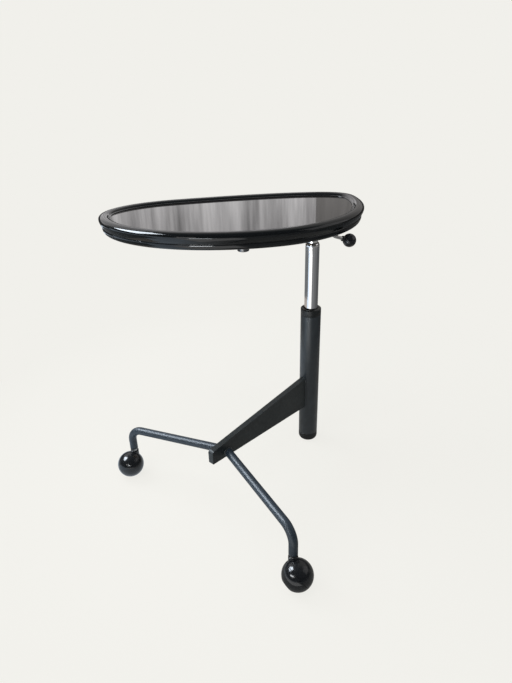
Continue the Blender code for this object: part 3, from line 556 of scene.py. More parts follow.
def makeRim():
    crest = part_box("edge_rim")[1].z + rimSection["raise"] / 1000
    rings = [[(x, y, crest - depth) for x, y in topOutline(inset)] for inset, depth in rimLine()]
    mesh = ringsMesh("edgeRim", rings, cyclic=True, matrix=topTurn, sharp=50)
    addPiece("edgeRim", mesh, "lift", rimLacquer, "rim_black", "edge_rim")


panelShape = {"inset": 0.0262, "ease": 0.0003}


def makePanel():
    low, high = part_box("top_panel")
    ease = panelShape["ease"]
    levels = [(ease, low.z), (0, low.z + ease), (0, high.z - ease), (ease, high.z)]
    rings = [[(x, y, z) for x, y in topOutline(panelShape["inset"] + inset)] for inset, z in levels]
    mesh = ringsMesh("glossPanel", rings, matrix=topTurn)
    addPiece("glossPanel", mesh, "lift", panelGloss, "gloss_black", "top_panel")


makeRim()
makePanel()
print("tabletop made")

# head and gas spring

cylinderShape = {"radius": 0.014, "wall": 0.0015, "edge": 0.001, "rings": (0.19, 0.08), "shoulder": 0.0075,
                 "cone": 0.018, "coneRadius": 0.0105, "coneTop": 0.01003, "coneEdge": 0.0004,
                 "head": 0.012, "pinBore": 0.0038, "lip": 0.011, "crimp": 0.0022}


def makeCylinder():
    low, high = (corner.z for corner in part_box("gas_cylinder"))
    radius, edge = cylinderShape["radius"], cylinderShape["edge"]
    coneTop, coneEdge = cylinderShape["coneTop"], cylinderShape["coneEdge"]
    lip, pinBore = cylinderShape["lip"], cylinderShape["pinBore"]
    bore = radius - cylinderShape["wall"]
    straight = high - cylinderShape["cone"] - cylinderShape["shoulder"]
    cavity = straight - cylinderShape["head"]
    crimp = low + cylinderShape["crimp"]
    cone = [(coneTop - coneEdge, high), (coneTop, high - coneEdge)]
    shoulder = arcLine((cylinderShape["coneRadius"], straight),
                       (radius - cylinderShape["coneRadius"], cylinderShape["shoulder"]),
                       math.pi / 2, 0, steps=14)
    body = [(radius, low + rise) for rise in cylinderShape["rings"]]
    body += [(radius, low + edge), (radius - edge, low)]
    inside = [(lip, low), (lip, crimp), (bore, crimp), (bore, cavity), (pinBore, cavity), (pinBore, high)]
    mesh = turnedMesh("chromeCylinder", [*cone, *shoulder, *body, *inside], 128, True, topTurn)
    addPiece("chromeCylinder", mesh, "lift", polishedChrome, "chrome", "gas_cylinder")


hubShape = {"radius": 0.018, "chamfer": 0.0015, "boreTop": 0.01034, "boreBottom": 0.01062, "edge": 0.0003,
            "round": 0.001}


def makeHub():
    low, high = (corner.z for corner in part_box("head_hub"))
    radius, chamfer = hubShape["radius"], hubShape["chamfer"]
    corners = [(hubShape["boreTop"], high, 0), (radius, high, hubShape["edge"]),
               (radius, low + chamfer, hubShape["round"]), (radius - chamfer, low, hubShape["round"]),
               (hubShape["boreBottom"], low, hubShape["edge"])]
    mesh = turnedMesh("headHub", roundedLine(corners, True), 96, True, topTurn)
    addPiece("headHub", mesh, "lift", platePaintWithPaintedShade, "plate_paint", "head_hub")


# dishMouth and dishFloor are shares of the radius
bossShape = {"place": (-0.140, 0.0), "radius": 0.0115, "round": 0.0018, "edge": 0.0004, "height": 0.025,
             "short": 0.0035, "stud": 0.003, "studEdge": 0.0005, "dish": 0.0006, "dishMouth": 0.72,
             "dishFloor": 0.66, "dishRound": 0.0008}


def makeBoss():
    low, high = (corner.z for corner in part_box("support_boss"))
    radius, stud, dishRound = bossShape["radius"], bossShape["stud"], bossShape["dishRound"]
    top = low + bossShape["height"]
    low += bossShape["short"]
    floor = low + bossShape["dish"]
    corners = [(0, high, 0), (stud, high, bossShape["studEdge"]), (stud, top, 0),
               (radius, top, bossShape["edge"]), (radius, low, bossShape["round"]),
               (radius * bossShape["dishMouth"], low, dishRound),
               (radius * bossShape["dishFloor"], floor, dishRound), (0, floor, 0)]
    place = topTurn @ Matrix.Translation((*bossShape["place"], 0))
    mesh = turnedMesh("chromeBoss", roundedLine(corners), 72, False, place)
    addPiece("chromeBoss", mesh, "lift", chromeWithPaintedShade, "chrome", "support_boss")


# tip and crownFlat are shares of the shank's and the head's radius
screwShape = {"near": (-0.046, -0.008), "far": (-0.046, 0.008), "inner": (-0.085, 0.110), "radius": 0.002,
              "tip": 0.3, "tipEdge": 0.0003, "point": 0.003, "round": 0.0006, "headRadius": 0.004,
              "headHeight": 0.0026, "headEdge": 0.0003, "crown": 0.0007, "crownFlat": 0.72,
              "crownRound": 0.001, "recess": (0.0046, 0.0009, 0.0026), "recessTurn": 0.5}


def makeScrews():
    radius, head = screwShape["radius"], screwShape["headRadius"]
    for label in ("near", "far", "inner"):
        low, high = (corner.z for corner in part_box("head_screw_" + label))
        top = low + screwShape["headHeight"]
        corners = [(0, high, 0), (radius * screwShape["tip"], high, screwShape["tipEdge"]),
                   (radius, high - screwShape["point"], screwShape["round"]), (radius, top, 0),
                   (head, top, screwShape["headEdge"]),
                   (head, low + screwShape["crown"], screwShape["round"]),
                   (head * screwShape["crownFlat"], low, screwShape["crownRound"]), (0, low, 0)]
        mesh = turnedMesh("screw_" + label, roundedLine(corners), 40)
        for turn in (0, math.pi / 2):
            slot = bmesh.new()
            bmesh.ops.create_cube(slot, size=1)
            bmesh.ops.scale(slot, vec=screwShape["recess"], verts=slot.verts)
            turned = Matrix.Rotation(turn + screwShape["recessTurn"], 4, "Z")
            tool = meshFrom(slot, "slotTool", Matrix.Translation((0, 0, low)) @ turned)
            mesh = cutMesh(mesh, tool, sharp=30)
        mesh.transform(topTurn @ Matrix.Translation((*screwShape[label], 0)))
        addPiece("screw_" + label, mesh, "lift", drawnSteel, "bright_steel", "head_screw_" + label)


makeCylinder()
makeHub()
makeBoss()
makeScrews()
print("head made")

# column

tubeShape = {"radius": 0.0212, "wall": 0.0025, "edge": 0.0004, "boreEdge": 0.0002}


def makeTube():
    low, high = (corner.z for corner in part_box("column_tube"))
    radius, edge, boreEdge = tubeShape["radius"], tubeShape["edge"], tubeShape["boreEdge"]
    bore = radius - tubeShape["wall"]
    corners = [(radius, high, edge), (radius, low, edge), (bore, low, boreEdge), (bore, high, boreEdge)]
    mesh = turnedMesh("columnTube", roundedLine(corners, True, 3), 128, True)
    addPiece("columnTube", mesh, "base", graphitePaint, "graphite_paint", "column_tube")


collarShape = {"radius": 0.0212, "seat": 0.0003, "chamfer": 0.0012, "round": 0.0008, "edge": 0.0003,
               "bore": 0.0143, "guide": 0.0184, "guideEdge": 0.0005, "recess": 0.0164,
               "recessDepth": 0.0010, "recessSlope": 0.0005, "recessEdge": 0.0002, "band": 0.0028,
               "bandDepth": 0.00035, "bandMouth": 0.0006, "bandFloor": 0.0003, "bandEdge": 0.0002,
               "bandRound": 0.0001}


def makeCollar():
    low, high = (corner.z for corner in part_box("column_collar"))
    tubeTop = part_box("column_tube")[1].z
    bottom = tubeTop + collarShape["seat"]
    radius, bore, guide = collarShape["radius"], collarShape["bore"], collarShape["guide"]
    chamfer, edge, recess = collarShape["chamfer"], collarShape["edge"], collarShape["recess"]
    sunk, recessEdge = high - collarShape["recessDepth"], collarShape["recessEdge"]
    mouth = [(bore, sunk, recessEdge), (recess - collarShape["recessSlope"], sunk, recessEdge),
             (recess, high, edge)]
    crown = [(radius - chamfer, high, collarShape["round"]), (radius, high - chamfer, collarShape["round"])]
    middle, groove = bottom + collarShape["band"], radius - collarShape["bandDepth"]
    band = [(radius, middle + collarShape["bandMouth"], collarShape["bandEdge"]),
            (groove, middle + collarShape["bandFloor"], collarShape["bandRound"]),
            (groove, middle - collarShape["bandFloor"], collarShape["bandRound"]),
            (radius, middle - collarShape["bandMouth"], collarShape["bandEdge"])]
    sleeve = [(radius, bottom, edge), (guide, bottom, 0), (guide, low, collarShape["guideEdge"]),
              (bore, low, edge)]
    corners = mouth + crown + band + sleeve
    mesh = turnedMesh("guideCollar", roundedLine(corners, True, 4), 128, True)
    addPiece("guideCollar", mesh, "base", grainedPlastic, "black_plastic", "column_collar")


footShape = {"radius": 0.0212, "round": 0.015, "height": 0.0195, "edge": 0.0005, "plug": 0.0184,
             "plugWall": 0.004, "plugEdge": 0.0006, "boreEdge": 0.0004, "sole": 0.008, "soleRound": 0.001}


def makeFoot():
    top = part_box("column_foot")[1].z
    radius, height, plug = footShape["radius"], footShape["height"], footShape["plug"]
    inner, sole = plug - footShape["plugWall"], footShape["sole"]
    corners = [(0, sole, 0), (inner, sole, footShape["soleRound"]), (inner, top, footShape["boreEdge"]),
               (plug, top, footShape["plugEdge"]), (plug, height, 0), (radius, height, footShape["edge"]),
               (radius, 0.0, footShape["round"]), (0, 0, 0)]
    mesh = turnedMesh("roundFoot", roundedLine(corners, False, 14), 128)
    addPiece("roundFoot", mesh, "base", grainedPlastic, "black_plastic", "column_foot")


makeTube()
makeCollar()
makeFoot()
print("column made")

# arm plate, its welds and the legs

plateShape = {"reach": 0.3087, "thickness": 0.012, "start": 0.004, "rootTop": 0.1727, "rootBottom": 0.0962,
              "noseTop": 0.1457, "noseBottom": 0.1172, "noseCut": 0.004, "noseRound": 0.003,
              "heelRound": 0.0012, "seat": 0.0002, "edge": 0.0008, "edgeSteps": 3, "edgeAngle": 50}


def makePlate():
    reach, half, start = plateShape["reach"], plateShape["thickness"] / 2, plateShape["start"]
    noseTop, noseCut, noseRound = plateShape["noseTop"], plateShape["noseCut"], plateShape["noseRound"]
    side = [(start, plateShape["rootBottom"], 0), (reach, plateShape["noseBottom"], plateShape["heelRound"]),
            (reach, noseTop - noseCut, noseRound), (reach - noseCut, noseTop, noseRound),
            (start, plateShape["rootTop"], 0)]
    outline = roundedLine(side, True, 6)
    rings = [[(x, -y, z) for y, z in outline] for x in (-half, half)]
    mesh = ringsMesh("armPlate", rings)
    low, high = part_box("column_tube")
    wall = tubeShape["radius"] + plateShape["seat"]
    tool = [(0, low.z), (wall, low.z), (wall, high.z), (0, high.z)]
    mesh = cutMesh(mesh, turnedMesh("plateTool", tool, 192))
    piece = addPiece("armPlate", mesh, "base", platePaintWithPaintedShade, "plate_paint", "arm_plate")
    edges = piece.modifiers.new("easedEdges", "BEVEL")
    edges.width = plateShape["edge"]
    edges.segments = plateShape["edgeSteps"]
    edges.limit_method = "ANGLE"
    edges.angle_limit = math.radians(plateShape["edgeAngle"])
    edges.harden_normals = True


weldShape = {"radius": 0.0017, "sides": 12, "ripple": 0.00018, "pitch": 0.0022, "lift": 0.0002,
             "tubeLift": 0.0001, "lowEnd": 0.001, "highEnd": 0.0022, "steps": 150}


def weldMesh(name, path, normal, cyclic=False):
    radii, run = [], 0.0
    for i, point in enumerate(path):
        run += (point - path[i - 1]).length if i else 0.0
        ripple = weldShape["ripple"] * math.sin(math.tau * run / weldShape["pitch"])
        radii.append(weldShape["radius"] + ripple)
    return ringsMesh(name, tubeRings(path, radii, weldShape["sides"], normal, cyclic), cyclic)


def makePlateWelds():
    half = plateShape["thickness"] / 2 + weldShape["lift"]
    root = -math.sqrt((tubeShape["radius"] + weldShape["tubeLift"]) ** 2 - half ** 2)
    low = plateShape["rootBottom"] + weldShape["lowEnd"]
    high = plateShape["rootTop"] - weldShape["highEnd"]
    steps = weldShape["steps"]
    for label, sign in (("left", -1), ("right", 1)):
        path = [Vector((sign * half, root, low + (high - low) * i / steps)) for i in range(steps + 1)]
        mesh = weldMesh("plateWeld_" + label, path, (1, 0, 0))
        addPiece("plateWeld_" + label, mesh, "base", weldPaint, "plate_paint")


# endShare is what the end's eased edge leaves of the radius
legShape = {"radius": 0.008, "sides": 48, "rootReach": 0.267, "rootRise": 0.0015, "bend": 0.028,
            "bendSteps": 28, "drop": 0.0469, "seat": 0.0002, "endEdge": 0.0004, "endShare": 0.95,
            "bore": 0.0065, "boreDepth": 0.0175}


def makeLeg(label, sign):
    swivel = Vector(joints["castor_swivel_" + label]["pos_m"])
    under = plateShape["rootBottom"] + (plateShape["noseBottom"] - plateShape["rootBottom"]) * (
        legShape["rootReach"] / plateShape["reach"])
    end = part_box("leg_" + label)[0].z
    root = Vector((0, -legShape["rootReach"], under + legShape["rootRise"] + legShape["radius"]))
    corner = Vector((swivel.x, swivel.y, end + legShape["drop"]))
    foot = Vector((swivel.x, swivel.y, end))
    path = bentPath((root, corner, foot), legShape["bend"], legShape["bendSteps"])
    along = (corner - root).normalized()
    rings = tubeRings(path, legShape["radius"], legShape["sides"], (0, 0, 1))
    # the first ring is slid along the bar onto the plate's flank
    flank = sign * (plateShape["thickness"] / 2 + legShape["seat"])
    rings[0] = [p + along * (flank - p.x) / along.x for p in rings[0]]
    middle = sum(rings[0], Vector()) / len(rings[0])
    weldPath = [p + (p - middle).normalized() * weldShape["lift"] for p in rings[0]]
    rings.insert(-1, [p + Vector((0, 0, legShape["endEdge"])) for p in rings[-1]])
    rings[-1] = [foot + (p - foot) * legShape["endShare"] for p in rings[-1]]
    bore = legShape["bore"] / legShape["radius"] / legShape["endShare"]
    rings.append([foot + (p - foot) * bore for p in rings[-1]])
    rings.append([p + Vector((0, 0, legShape["boreDepth"])) for p in rings[-1]])
    mesh = ringsMesh("leg_" + label + "_bar", rings)
    addPiece("legBar_" + label, mesh, "base", legPaintWithPaintedReflection, "graphite_paint", "leg_" + label)
    mesh = weldMesh("legWeld_" + label, weldPath, (1, 0, 0), True)
    addPiece("legWeld_" + label, mesh, "base", weldPaint, "graphite_paint")


makePlate()
makePlateWelds()
makeLeg("left", -1)
makeLeg("right", 1)
print("arm and legs made")

# castors

castorShape = {"ball": 0.0272, "step": 0.0001, "seam": 0.0004, "edge": 0.0002, "tilt": math.radians(32),
               "face": 0.0245, "recess": 0.009, "recessEdge": 0.0003, "bossRadius": 0.0085,
               "bossRise": 0.0015, "bossRound": 0.0012, "socketWall": 0.0017, "toolReach": 0.01,
               "gap": 0.0003}
axleShape = {"radius": 0.004, "depth": 0.011, "edge": 0.0005, "headRadius": 0.007, "headHeight": 0.002,
             "headRound": 0.0007, "headEdge": 0.0003}
stemShape = {"radius": 0.0045, "tipRound": 0.001, "edge": 0.0004, "shoulder": 0.0065}
bushShape = {"radius": 0.0062, "edge": 0.0004, "flange": 0.008, "flangeEdge": 0.0003, "flangeRound": 0.0009}


def axleMatrix(label):
    roll = joints["wheel_roll_" + label]
    turn = Vector((0, 0, 1)).rotation_difference(Vector(roll["axis"])).to_matrix().to_4x4()
    return Matrix.Translation(roll["pos_m"]) @ turn


def aboveSeam(radius, wall):
    # lowest height at which an upright round of this radius keeps this wall to the inclined seam
    tilt = castorShape["tilt"]
    return castorShape["ball"] + (radius * math.cos(tilt) + castorShape["seam"] / 2 + wall) / math.sin(tilt)


def makeHood(label, stemMatrix):
    radius = castorShape["ball"] - castorShape["step"]
    seam, edge, gap = -castorShape["seam"] / 2, castorShape["edge"], castorShape["gap"]
    bore, deep = axleShape["radius"] + gap, -axleShape["depth"]
    dome = arcLine((0, 0), (radius, radius), math.asin(seam / radius), -math.pi / 2, 32)
    line = [(0, deep), (bore, deep), (bore, seam), (radius - edge, seam),
            (math.sqrt(radius ** 2 - (seam - edge) ** 2), seam - edge), *dome[1:-1], (0, -radius)]
    mesh = turnedMesh("castorHood", line, 96, False, axleMatrix(label))
    top = 2 * castorShape["ball"] + castorShape["bossRise"]
    bossRadius = castorShape["bossRadius"]
    low = aboveSeam(bossRadius, gap)
    boss = [(0, low, 0), (bossRadius, low, 0), (bossRadius, top, castorShape["bossRound"]), (0, top, 0)]
    mesh = cutMesh(mesh, turnedMesh("bossTool", roundedLine(boss), 64, False, stemMatrix), "UNION")
    socket = stemShape["radius"] + gap
    floor, above = aboveSeam(socket, castorShape["socketWall"]), top + castorShape["toolReach"]
    hole = [(0, floor), (socket, floor), (socket, above), (0, above)]
    mesh = cutMesh(mesh, turnedMesh("socketTool", hole, 48, False, stemMatrix))
    addPiece("hood_" + label, mesh, "castor_" + label, hoodBlack, "castor_black", "castor_hood_" + label)


def makeStem(label, stemMatrix, bushLow):
    low, high = (corner.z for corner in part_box("castor_stem_" + label))
    stem, shoulder, edge = stemShape["radius"], stemShape["shoulder"], stemShape["edge"]
    shoulderTop = bushLow - castorShape["gap"]
    shoulderLow = 2 * castorShape["ball"] + castorShape["bossRise"] + castorShape["gap"]
    corners = [(0, high, 0), (stem, high, stemShape["tipRound"]), (stem, shoulderTop, 0),
               (shoulder, shoulderTop, edge), (shoulder, shoulderLow, edge), (stem, shoulderLow, 0),
               (stem, low, edge), (0, low, 0)]
    mesh = turnedMesh("castorStem", roundedLine(corners), 56, False, stemMatrix)
    addPiece("stem_" + label, mesh, "castor_" + label, drawnSteel, "bright_steel", "castor_stem_" + label)


def makeBush(label, stemMatrix, low, high):
    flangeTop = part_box("leg_" + label)[0].z - castorShape["gap"]
    bore, radius, flange = stemShape["radius"] + castorShape["gap"], bushShape["radius"], bushShape["flange"]
    corners = [(bore, high, 0), (radius, high, bushShape["edge"]), (radius, flangeTop, 0),
               (flange, flangeTop, bushShape["flangeEdge"]), (flange, low, bushShape["flangeRound"]),
               (bore, low, bushShape["flangeEdge"])]
    mesh = turnedMesh("stemBush", roundedLine(corners, True), 56, True, stemMatrix)
    addPiece("bush_" + label, mesh, "base", grainedPlastic, "black_plastic", "stem_bush_" + label)


def makeWheel(label):
    ball, face, edge = castorShape["ball"], castorShape["face"], castorShape["edge"]
    recess, recessEdge = castorShape["recess"], castorShape["recessEdge"]
    inner = castorShape["seam"] / 2
    bore = axleShape["radius"] + castorShape["gap"]
    floor = face - axleShape["headHeight"] - castorShape["gap"]
    tread = arcLine((0, 0), (ball, ball), math.asin(face / ball), math.asin(inner / ball), 36)
    line = [(recess + recessEdge, face), *tread[:-1],
            (math.sqrt(ball ** 2 - (inner + edge) ** 2), inner + edge), (tread[-1].x - edge, inner),
            (bore, inner), (bore, floor), (recess, floor), (recess, face - recessEdge)]
    mesh = turnedMesh("castorWheel", line, 128, True, axleMatrix(label), sharp=30)
    addPiece("wheel_" + label, mesh, "wheel_" + label, ballPlastic, "gloss_black", "castor_wheel_" + label)


def makeAxle(label):
    axle, head, face = axleShape["radius"], axleShape["headRadius"], castorShape["face"]
    headLow, deep = face - axleShape["headHeight"], -axleShape["depth"] + castorShape["gap"]
    corners = [(0, face, 0), (head, face, axleShape["headRound"]), (head, headLow, axleShape["headEdge"]),
               (axle, headLow, 0), (axle, deep, axleShape["edge"]), (0, deep, 0)]
    mesh = turnedMesh("castorAxle", roundedLine(corners), 56, False, axleMatrix(label))
    addPiece("axle_" + label, mesh, "castor_" + label, hoodBlack, "castor_black", "castor_axle_" + label)


for label in ("left", "right"):
    place = joints["castor_swivel_" + label]["pos_m"]
    stemMatrix = Matrix.Translation((place[0], place[1], 0))
    bushLow, bushHigh = (corner.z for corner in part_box("stem_bush_" + label))
    makeHood(label, stemMatrix)
    makeStem(label, stemMatrix, bushLow)
    makeBush(label, stemMatrix, bushLow, bushHigh)
    makeWheel(label)
    makeAxle(label)
print("castors made")

# release lever

leverShape = {"radius": 0.0035, "pivot": -0.022, "tail": 0.006, "bend": 0.018, "bendRadius": 0.012,
              "knee": 0.047, "kneeDrop": 0.0203, "knob": 0.078, "knobDrop": 0.031, "eye": 0.00205,
              "eyeReach": 0.01}
knobShape = {"radius": 0.0135, "flat": 0.012, "socket": 0.002, "mouth": 0.0005, "mouthLip": 0.0002,
             "mouthEdge": 0.0003, "gap": 0.0003}
neckShape = {"radius": 0.0055, "length": 0.005, "edge": 0.0004, "round": 0.0012, "boreEdge": 0.0003}
knobReach = leverShape["knob"] - leverShape["knee"]
knobSlope = math.atan2(leverShape["knobDrop"] - leverShape["kneeDrop"], knobReach)
knobBore = leverShape["radius"] + knobShape["gap"]


def leverPoint(name):
    # from the pivot, in the lever's own plane
    drop = leverShape.get(name + "Drop", 0)
    return Vector((leverShape[name] - leverShape["pivot"], 0, -drop))


def makeLeverBar(place):
    outward = Vector((math.cos(knobSlope), 0, -math.sin(knobSlope)))
    tip = leverPoint("knob") + outward * (knobShape["socket"] - knobShape["gap"])
    corners = ((-leverShape["tail"], 0, 0), leverPoint("bend"), leverPoint("knee"), tip)
    path = bentPath(corners, leverShape["bendRadius"], 12)
    mesh = ringsMesh("leverRod", tubeRings(path, leverShape["radius"], 32, (0, 0, 1)))
    eye, reach = leverShape["eye"], leverShape["eyeReach"]
    hole = [(0, -reach), (eye, -reach), (eye, reach), (0, reach)]
    tool = turnedMesh("eyeTool", hole, 32, False, Matrix.Rotation(math.pi / 2, 4, "X"))
    mesh = cutMesh(mesh, tool)
    mesh.transform(place)
    addPiece("leverBar", mesh, "lever", drawnSteel, "bright_steel", "lever_rod")


def makeKnob(along):
    radius, flat, socket = knobShape["radius"], knobShape["flat"], knobShape["socket"]
    ball = arcLine((0, 0), (radius, radius), math.pi / 2, math.asin(-flat / radius), 40)
    line = [(0, radius), *ball[1:], (knobBore + knobShape["mouth"], -flat - knobShape["mouthLip"]),
            (knobBore, -flat + knobShape["mouthEdge"]), (knobBore, socket), (0, socket)]
    mesh = turnedMesh("knob", line, 72, False, along)
    addPiece("knob", mesh, "lever", ballPlastic, "gloss_black", "lever_knob")


def makeNeck(along):
    top = -knobShape["flat"] - knobShape["gap"]
    low = top - neckShape["length"]
    corners = [(knobBore, top, 0), (neckShape["radius"], top, neckShape["edge"]),
               (neckShape["radius"], low, neckShape["round"]), (knobBore, low, neckShape["boreEdge"])]
    mesh = turnedMesh("neck", roundedLine(corners, True), 56, True, along)
    addPiece("neck", mesh, "lever", grainedPlastic, "black_plastic", "lever_neck")


pivot = topTurn.inverted() @ Vector(joints["lever_press"]["pos_m"])
leverPlace = topTurn @ Matrix.Translation((leverShape["pivot"], 0, pivot.z))
knobTurn = Matrix.Rotation(math.pi / 2 + knobSlope, 4, "Y")
knobPlace = leverPlace @ Matrix.Translation(leverPoint("knob")) @ knobTurn
makeLeverBar(leverPlace)
makeKnob(knobPlace)
makeNeck(knobPlace)
print("lever made")

# carried-over nodes keep their solids and get their finish

carriedFinish = {
    pressedBoard: ["top_board"],
    platePaintWithPaintedShade: ["head_plate"],
    drawnSteel: ["lever_bracket", "lever_pivot_pin", "rod_seat", "piston_rod", "rod_clip", "thrust_bearing",
                 "release_pin"],
    grainedPlastic: ["piston", "cylinder_gland"],
    softRubber: ["rod_buffer"],
}


def dressCarried():
    for finish, names in carriedFinish.items():
        for name in names:
            node = nodes[name]
            node.data.materials.clear()
            node.data.materials.append(finish)


dressCarried()
print("carried nodes dressed")

# stage: floor, world, lamps and the cards that gloss and chrome reflect

paleTone = (0.8796, 0.8714, 0.8308)
stageLook = {"floorSize": 9.0, "floorSides": 96, "shadowShare": 0.12, "shadowFrom": 0.3, "shadowReach": 0.9,
             "floorLit": 0.72, "floorGloss": 0.30, "poolTurn": 90, "poolFrom": 0.10, "poolTo": 0.48,
             "poolGloss": 1.30, "poolTone": (0.74, 0.86, 1.0), "ambient": 0.24,
             "ambientTone": (0.95, 0.98, 1.0), "roomGloss": 0.08, "backFrom": 0.1, "backTo": 0.8,
             "backGloss": 0.80, "lampAim": (0, 0, 0.3)}
cameraSide = Vector((photoCamera["place"][0], photoCamera["place"][1], 0)).normalized()
cameraLeft = Vector((cameraSide.y, -cameraSide.x, 0))


def towards(turn):
    # level direction, turned to the camera's left from where the camera stands
    angle = math.radians(turn)
    return cameraSide * math.cos(angle) + cameraLeft * math.sin(angle)


def seenMask(tree):
    path = addNode(tree, "ShaderNodeLightPath")
    seen = mathNode(tree, "MAXIMUM", path.outputs["Is Camera Ray"], path.outputs["Is Glossy Ray"])
    return mathNode(tree, "MAXIMUM", seen, path.outputs["Is Transmission Ray"]), path.outputs["Is Camera Ray"]


def bareMaterial(name):
    material = bpy.data.materials.new(name)
    material.use_nodes = True
    tree = material.node_tree
    tree.nodes.remove(tree.nodes["Principled BSDF"])
    return material, tree


def mixShaders(tree, mask, first, second, output):
    mixer = addNode(tree, "ShaderNodeMixShader")
    tree.links.new(mask, mixer.inputs[0])
    tree.links.new(first.outputs[0], mixer.inputs[1])
    tree.links.new(second.outputs[0], mixer.inputs[2])
    tree.links.new(mixer.outputs[0], tree.nodes[output].inputs["Surface"])


def alongNode(tree, place, direction):
    node = addNode(tree, "ShaderNodeVectorMath", operation="DOT_PRODUCT")
    tree.links.new(place, node.inputs[0])
    node.inputs[1].default_value = direction
    return node.outputs["Value"]


def makeFloorFinish():
    material, tree = bareMaterial("paleFloor")
    seen, camera = seenMask(tree)
    matt = addNode(tree, "ShaderNodeBsdfDiffuse")
    matt.inputs["Color"].default_value = (*paleTone, 1.0)
    glow = addNode(tree, "ShaderNodeEmission")
    place = objectPlace(tree)
    away = addNode(tree, "ShaderNodeVectorMath", operation="LENGTH")
    tree.links.new(place, away.inputs[0])
    share = rangeNode(tree, away.outputs["Value"], stageLook["shadowFrom"], stageLook["shadowReach"],
                      toLow=1 - stageLook["shadowShare"])
    # the glow makes up for what the lit share lacks, so the floor stays even outside the shadow
    lit = mathNode(tree, "MULTIPLY", mathNode(tree, "SUBTRACT", 1.0, share), stageLook["floorLit"])
    even = mathNode(tree, "DIVIDE", mathNode(tree, "SUBTRACT", 1.0, lit), share)
    # reflections see a darker floor, with a bright bluish pool on the window's side
    reach = alongNode(tree, place, towards(stageLook["poolTurn"]))
    pool = rangeNode(tree, reach, stageLook["poolFrom"], stageLook["poolTo"])
    gloss = rangeNode(tree, pool, 0.0, 1.0, stageLook["floorGloss"], stageLook["poolGloss"])
    level = addNode(tree, "ShaderNodeMix")
    tree.links.new(camera, level.inputs[0])
    tree.links.new(gloss, level.inputs[2])
    tree.links.new(even, level.inputs[3])
    tree.links.new(level.outputs[0], glow.inputs["Strength"])
    bluish = mathNode(tree, "MULTIPLY", pool, mathNode(tree, "SUBTRACT", 1.0, camera))
    tree.links.new(mixColours(tree, bluish, paleTone, stageLook["poolTone"]), glow.inputs["Color"])
    mixShaders(tree, mathNode(tree, "MULTIPLY", seen, share), matt, glow, "Material Output")
    return material


def makeFloor():
    shape = bmesh.new()
    bmesh.ops.create_circle(shape, cap_ends=True, segments=stageLook["floorSides"],
                            radius=stageLook["floorSize"])
    floor = bpy.data.objects.new("floor", meshFrom(shape, "floor"))
    scene.collection.objects.link(floor)
    floor.data.materials.append(makeFloorFinish())


def makeWorld():
    world = bpy.data.worlds.new("softStudio")
    scene.world = world
    world.use_nodes = True
    tree = world.node_tree
    seen, camera = seenMask(tree)
    light = tree.nodes["Background"]
    light.inputs["Color"].default_value = (*stageLook["ambientTone"], 1.0)
    light.inputs["Strength"].default_value = stageLook["ambient"]
    view = addNode(tree, "ShaderNodeBackground")
    view.inputs["Color"].default_value = (*paleTone, 1.0)
    outlook = addNode(tree, "ShaderNodeTexCoord").outputs["Generated"]
    gloss = rangeNode(tree, alongNode(tree, outlook, -cameraSide), stageLook["backFrom"], stageLook["backTo"],
                      stageLook["roomGloss"], stageLook["backGloss"])
    tree.links.new(mathNode(tree, "MAXIMUM", gloss, camera), view.inputs["Strength"])
    mixShaders(tree, seen, light, view, "World Output")


lampLooks = {
    "windowLamp": {"turn": 105, "rise": 38, "away": 2.0, "size": 1.2, "power": 25.0,
                   "tone": (0.94, 0.97, 1.0)},
    "roomLamp": {"turn": 40, "rise": 32, "away": 2.2, "size": 1.4, "power": 15.0,
                 "tone": (1.0, 0.98, 0.95)},
    "ceilingLamp": {"turn": 0, "rise": 86, "away": 2.4, "size": 2.0, "power": 16.5,
                    "tone": (1.0, 1.0, 1.0)},
}


def makeLamps():
    aim = Vector(stageLook["lampAim"])
    for name, look in lampLooks.items():
        data = bpy.data.lights.new(name, "AREA")
        data.size = look["size"]
        data.energy = look["power"]
        data.color = look["tone"]
        lamp = bpy.data.objects.new(name, data)
        scene.collection.objects.link(lamp)
        rise = math.radians(look["rise"])
        outward = towards(look["turn"]) * math.cos(rise) + Vector((0, 0, math.sin(rise)))
        lamp.location = aim + outward * look["away"]
        lamp.rotation_euler = outward.to_track_quat("Z", "Y").to_euler()
        lamp.visible_glossy = False


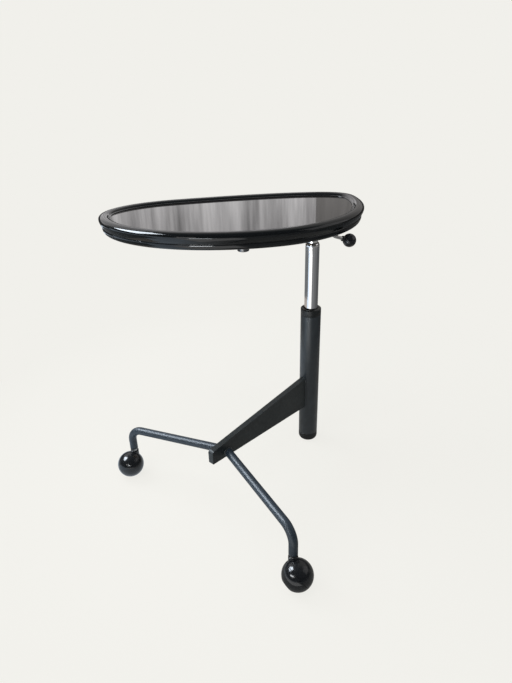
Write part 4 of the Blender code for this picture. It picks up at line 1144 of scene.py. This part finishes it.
# cards stand on arcs round the table; those with a reach lie on the floor, from away out to reach
# from and to are in degrees left of the camera, heights and distances in metres
cardLooks = {
    "windowCard": {"from": 68, "to": 101, "low": 1.14, "high": 2.80, "away": 1.7, "strength": 24.0,
                   "tone": (0.84, 0.92, 1.0)},
    "lampCard": {"from": 20, "to": 34, "low": 0.75, "high": 1.05, "away": 1.9, "strength": 4.0,
                 "tone": (1.0, 0.97, 0.95)},
    "lowCard": {"from": 17, "to": 33, "low": 0.245, "high": 0.305, "away": 0.79, "strength": 20.0,
                "tone": (0.94, 0.98, 1.0)},
    "frontPatch": {"from": -4, "to": 40, "away": 0.50, "reach": 1.62, "strength": 1.45,
                   "tone": (1.0, 0.99, 0.98)},
    "gapFlag": {"from": -42, "to": -8, "away": 0.60, "reach": 1.75, "strength": 0.24,
                "tone": (0.95, 0.97, 1.0)},
    "rightCard": {"from": -78, "to": -42, "away": 0.60, "reach": 1.75, "strength": 0.17,
                  "tone": (0.95, 0.97, 1.0)},
    "rightFlag": {"from": -170, "to": -78, "away": 0.60, "reach": 1.75, "strength": 0.11,
                  "tone": (0.95, 0.97, 1.0)},
    "leftFlag": {"from": 60, "to": 170, "away": 0.87, "reach": 1.75, "strength": 0.20,
                 "tone": (0.92, 0.97, 1.0)},
    "leftGlow": {"from": 72, "to": 170, "away": 0.60, "reach": 0.87, "strength": 0.52,
                 "tone": (1.0, 0.90, 0.82)},
    "backFlag": {"from": 100, "to": 255, "low": 0.0, "high": 0.74, "away": 1.95, "strength": 0.06,
                 "tone": (1.0, 0.97, 0.95)},
    "curtain": {"from": 110, "to": 180.4, "low": 0.74, "high": 2.6, "away": 1.9, "strength": 1.0,
                "tone": (1.0, 0.975, 0.98), "pleats": 0.6},
    "curtainEnd": {"from": 180.4, "to": 240, "low": 0.74, "high": 2.6, "away": 1.9, "strength": 0.42,
                   "tone": (1.0, 0.96, 0.93), "pleats": 0.3},
    "sideCurtain": {"from": 240, "to": 296, "low": 0.74, "high": 2.6, "away": 1.9, "strength": 0.75,
                    "tone": (1.0, 0.98, 0.98), "pleats": 0.7},
}
cardShape = {"steps": 24, "floorLift": 0.003}
pleatLook = {"upright": (1.0, 1.0, 0.06), "scale": 11.0, "detail": 6.0, "roughness": 0.68,
             "from": 0.30, "to": 0.70}
unseenBy = ("camera", "diffuse", "transmission", "volume_scatter", "shadow")


def cardMesh(name, look):
    shape = bmesh.new()
    rows = []
    for i in range(cardShape["steps"] + 1):
        outward = towards(look["from"] + (look["to"] - look["from"]) * i / cardShape["steps"])
        low = outward * look["away"]
        high = outward * look.get("reach", look["away"])
        low.z = look.get("low", cardShape["floorLift"])
        high.z = look.get("high", cardShape["floorLift"])
        rows.append((shape.verts.new(low), shape.verts.new(high)))
    for first, second in zip(rows, rows[1:]):
        shape.faces.new((first[0], second[0], second[1], first[1]))
    return meshFrom(shape, name)


def cardFinish(name, look):
    material, tree = bareMaterial(name + "Glow")
    strength, pleats = look["strength"], look.get("pleats")
    glow = addNode(tree, "ShaderNodeEmission")
    glow.inputs["Color"].default_value = (*look["tone"], 1.0)
    glow.inputs["Strength"].default_value = strength
    if pleats:
        upright = addNode(tree, "ShaderNodeVectorMath", operation="MULTIPLY")
        tree.links.new(objectPlace(tree), upright.inputs[0])
        upright.inputs[1].default_value = pleatLook["upright"]
        folds = noiseNode(tree, upright.outputs[0], pleatLook["scale"], pleatLook["detail"],
                          pleatLook["roughness"])
        bright = rangeNode(tree, folds, pleatLook["from"], pleatLook["to"], strength * (1 - pleats),
                           strength * (1 + pleats))
        tree.links.new(bright, glow.inputs["Strength"])
    tree.links.new(glow.outputs[0], tree.nodes["Material Output"].inputs["Surface"])
    return material


def makeCard(name, look):
    card = bpy.data.objects.new(name, cardMesh(name, look))
    scene.collection.objects.link(card)
    card.data.materials.append(cardFinish(name, look))
    for ray in unseenBy:
        setattr(card, "visible_" + ray, False)


makeFloor()
makeWorld()
makeLamps()
for name, look in cardLooks.items():
    makeCard(name, look)
print("stage set")
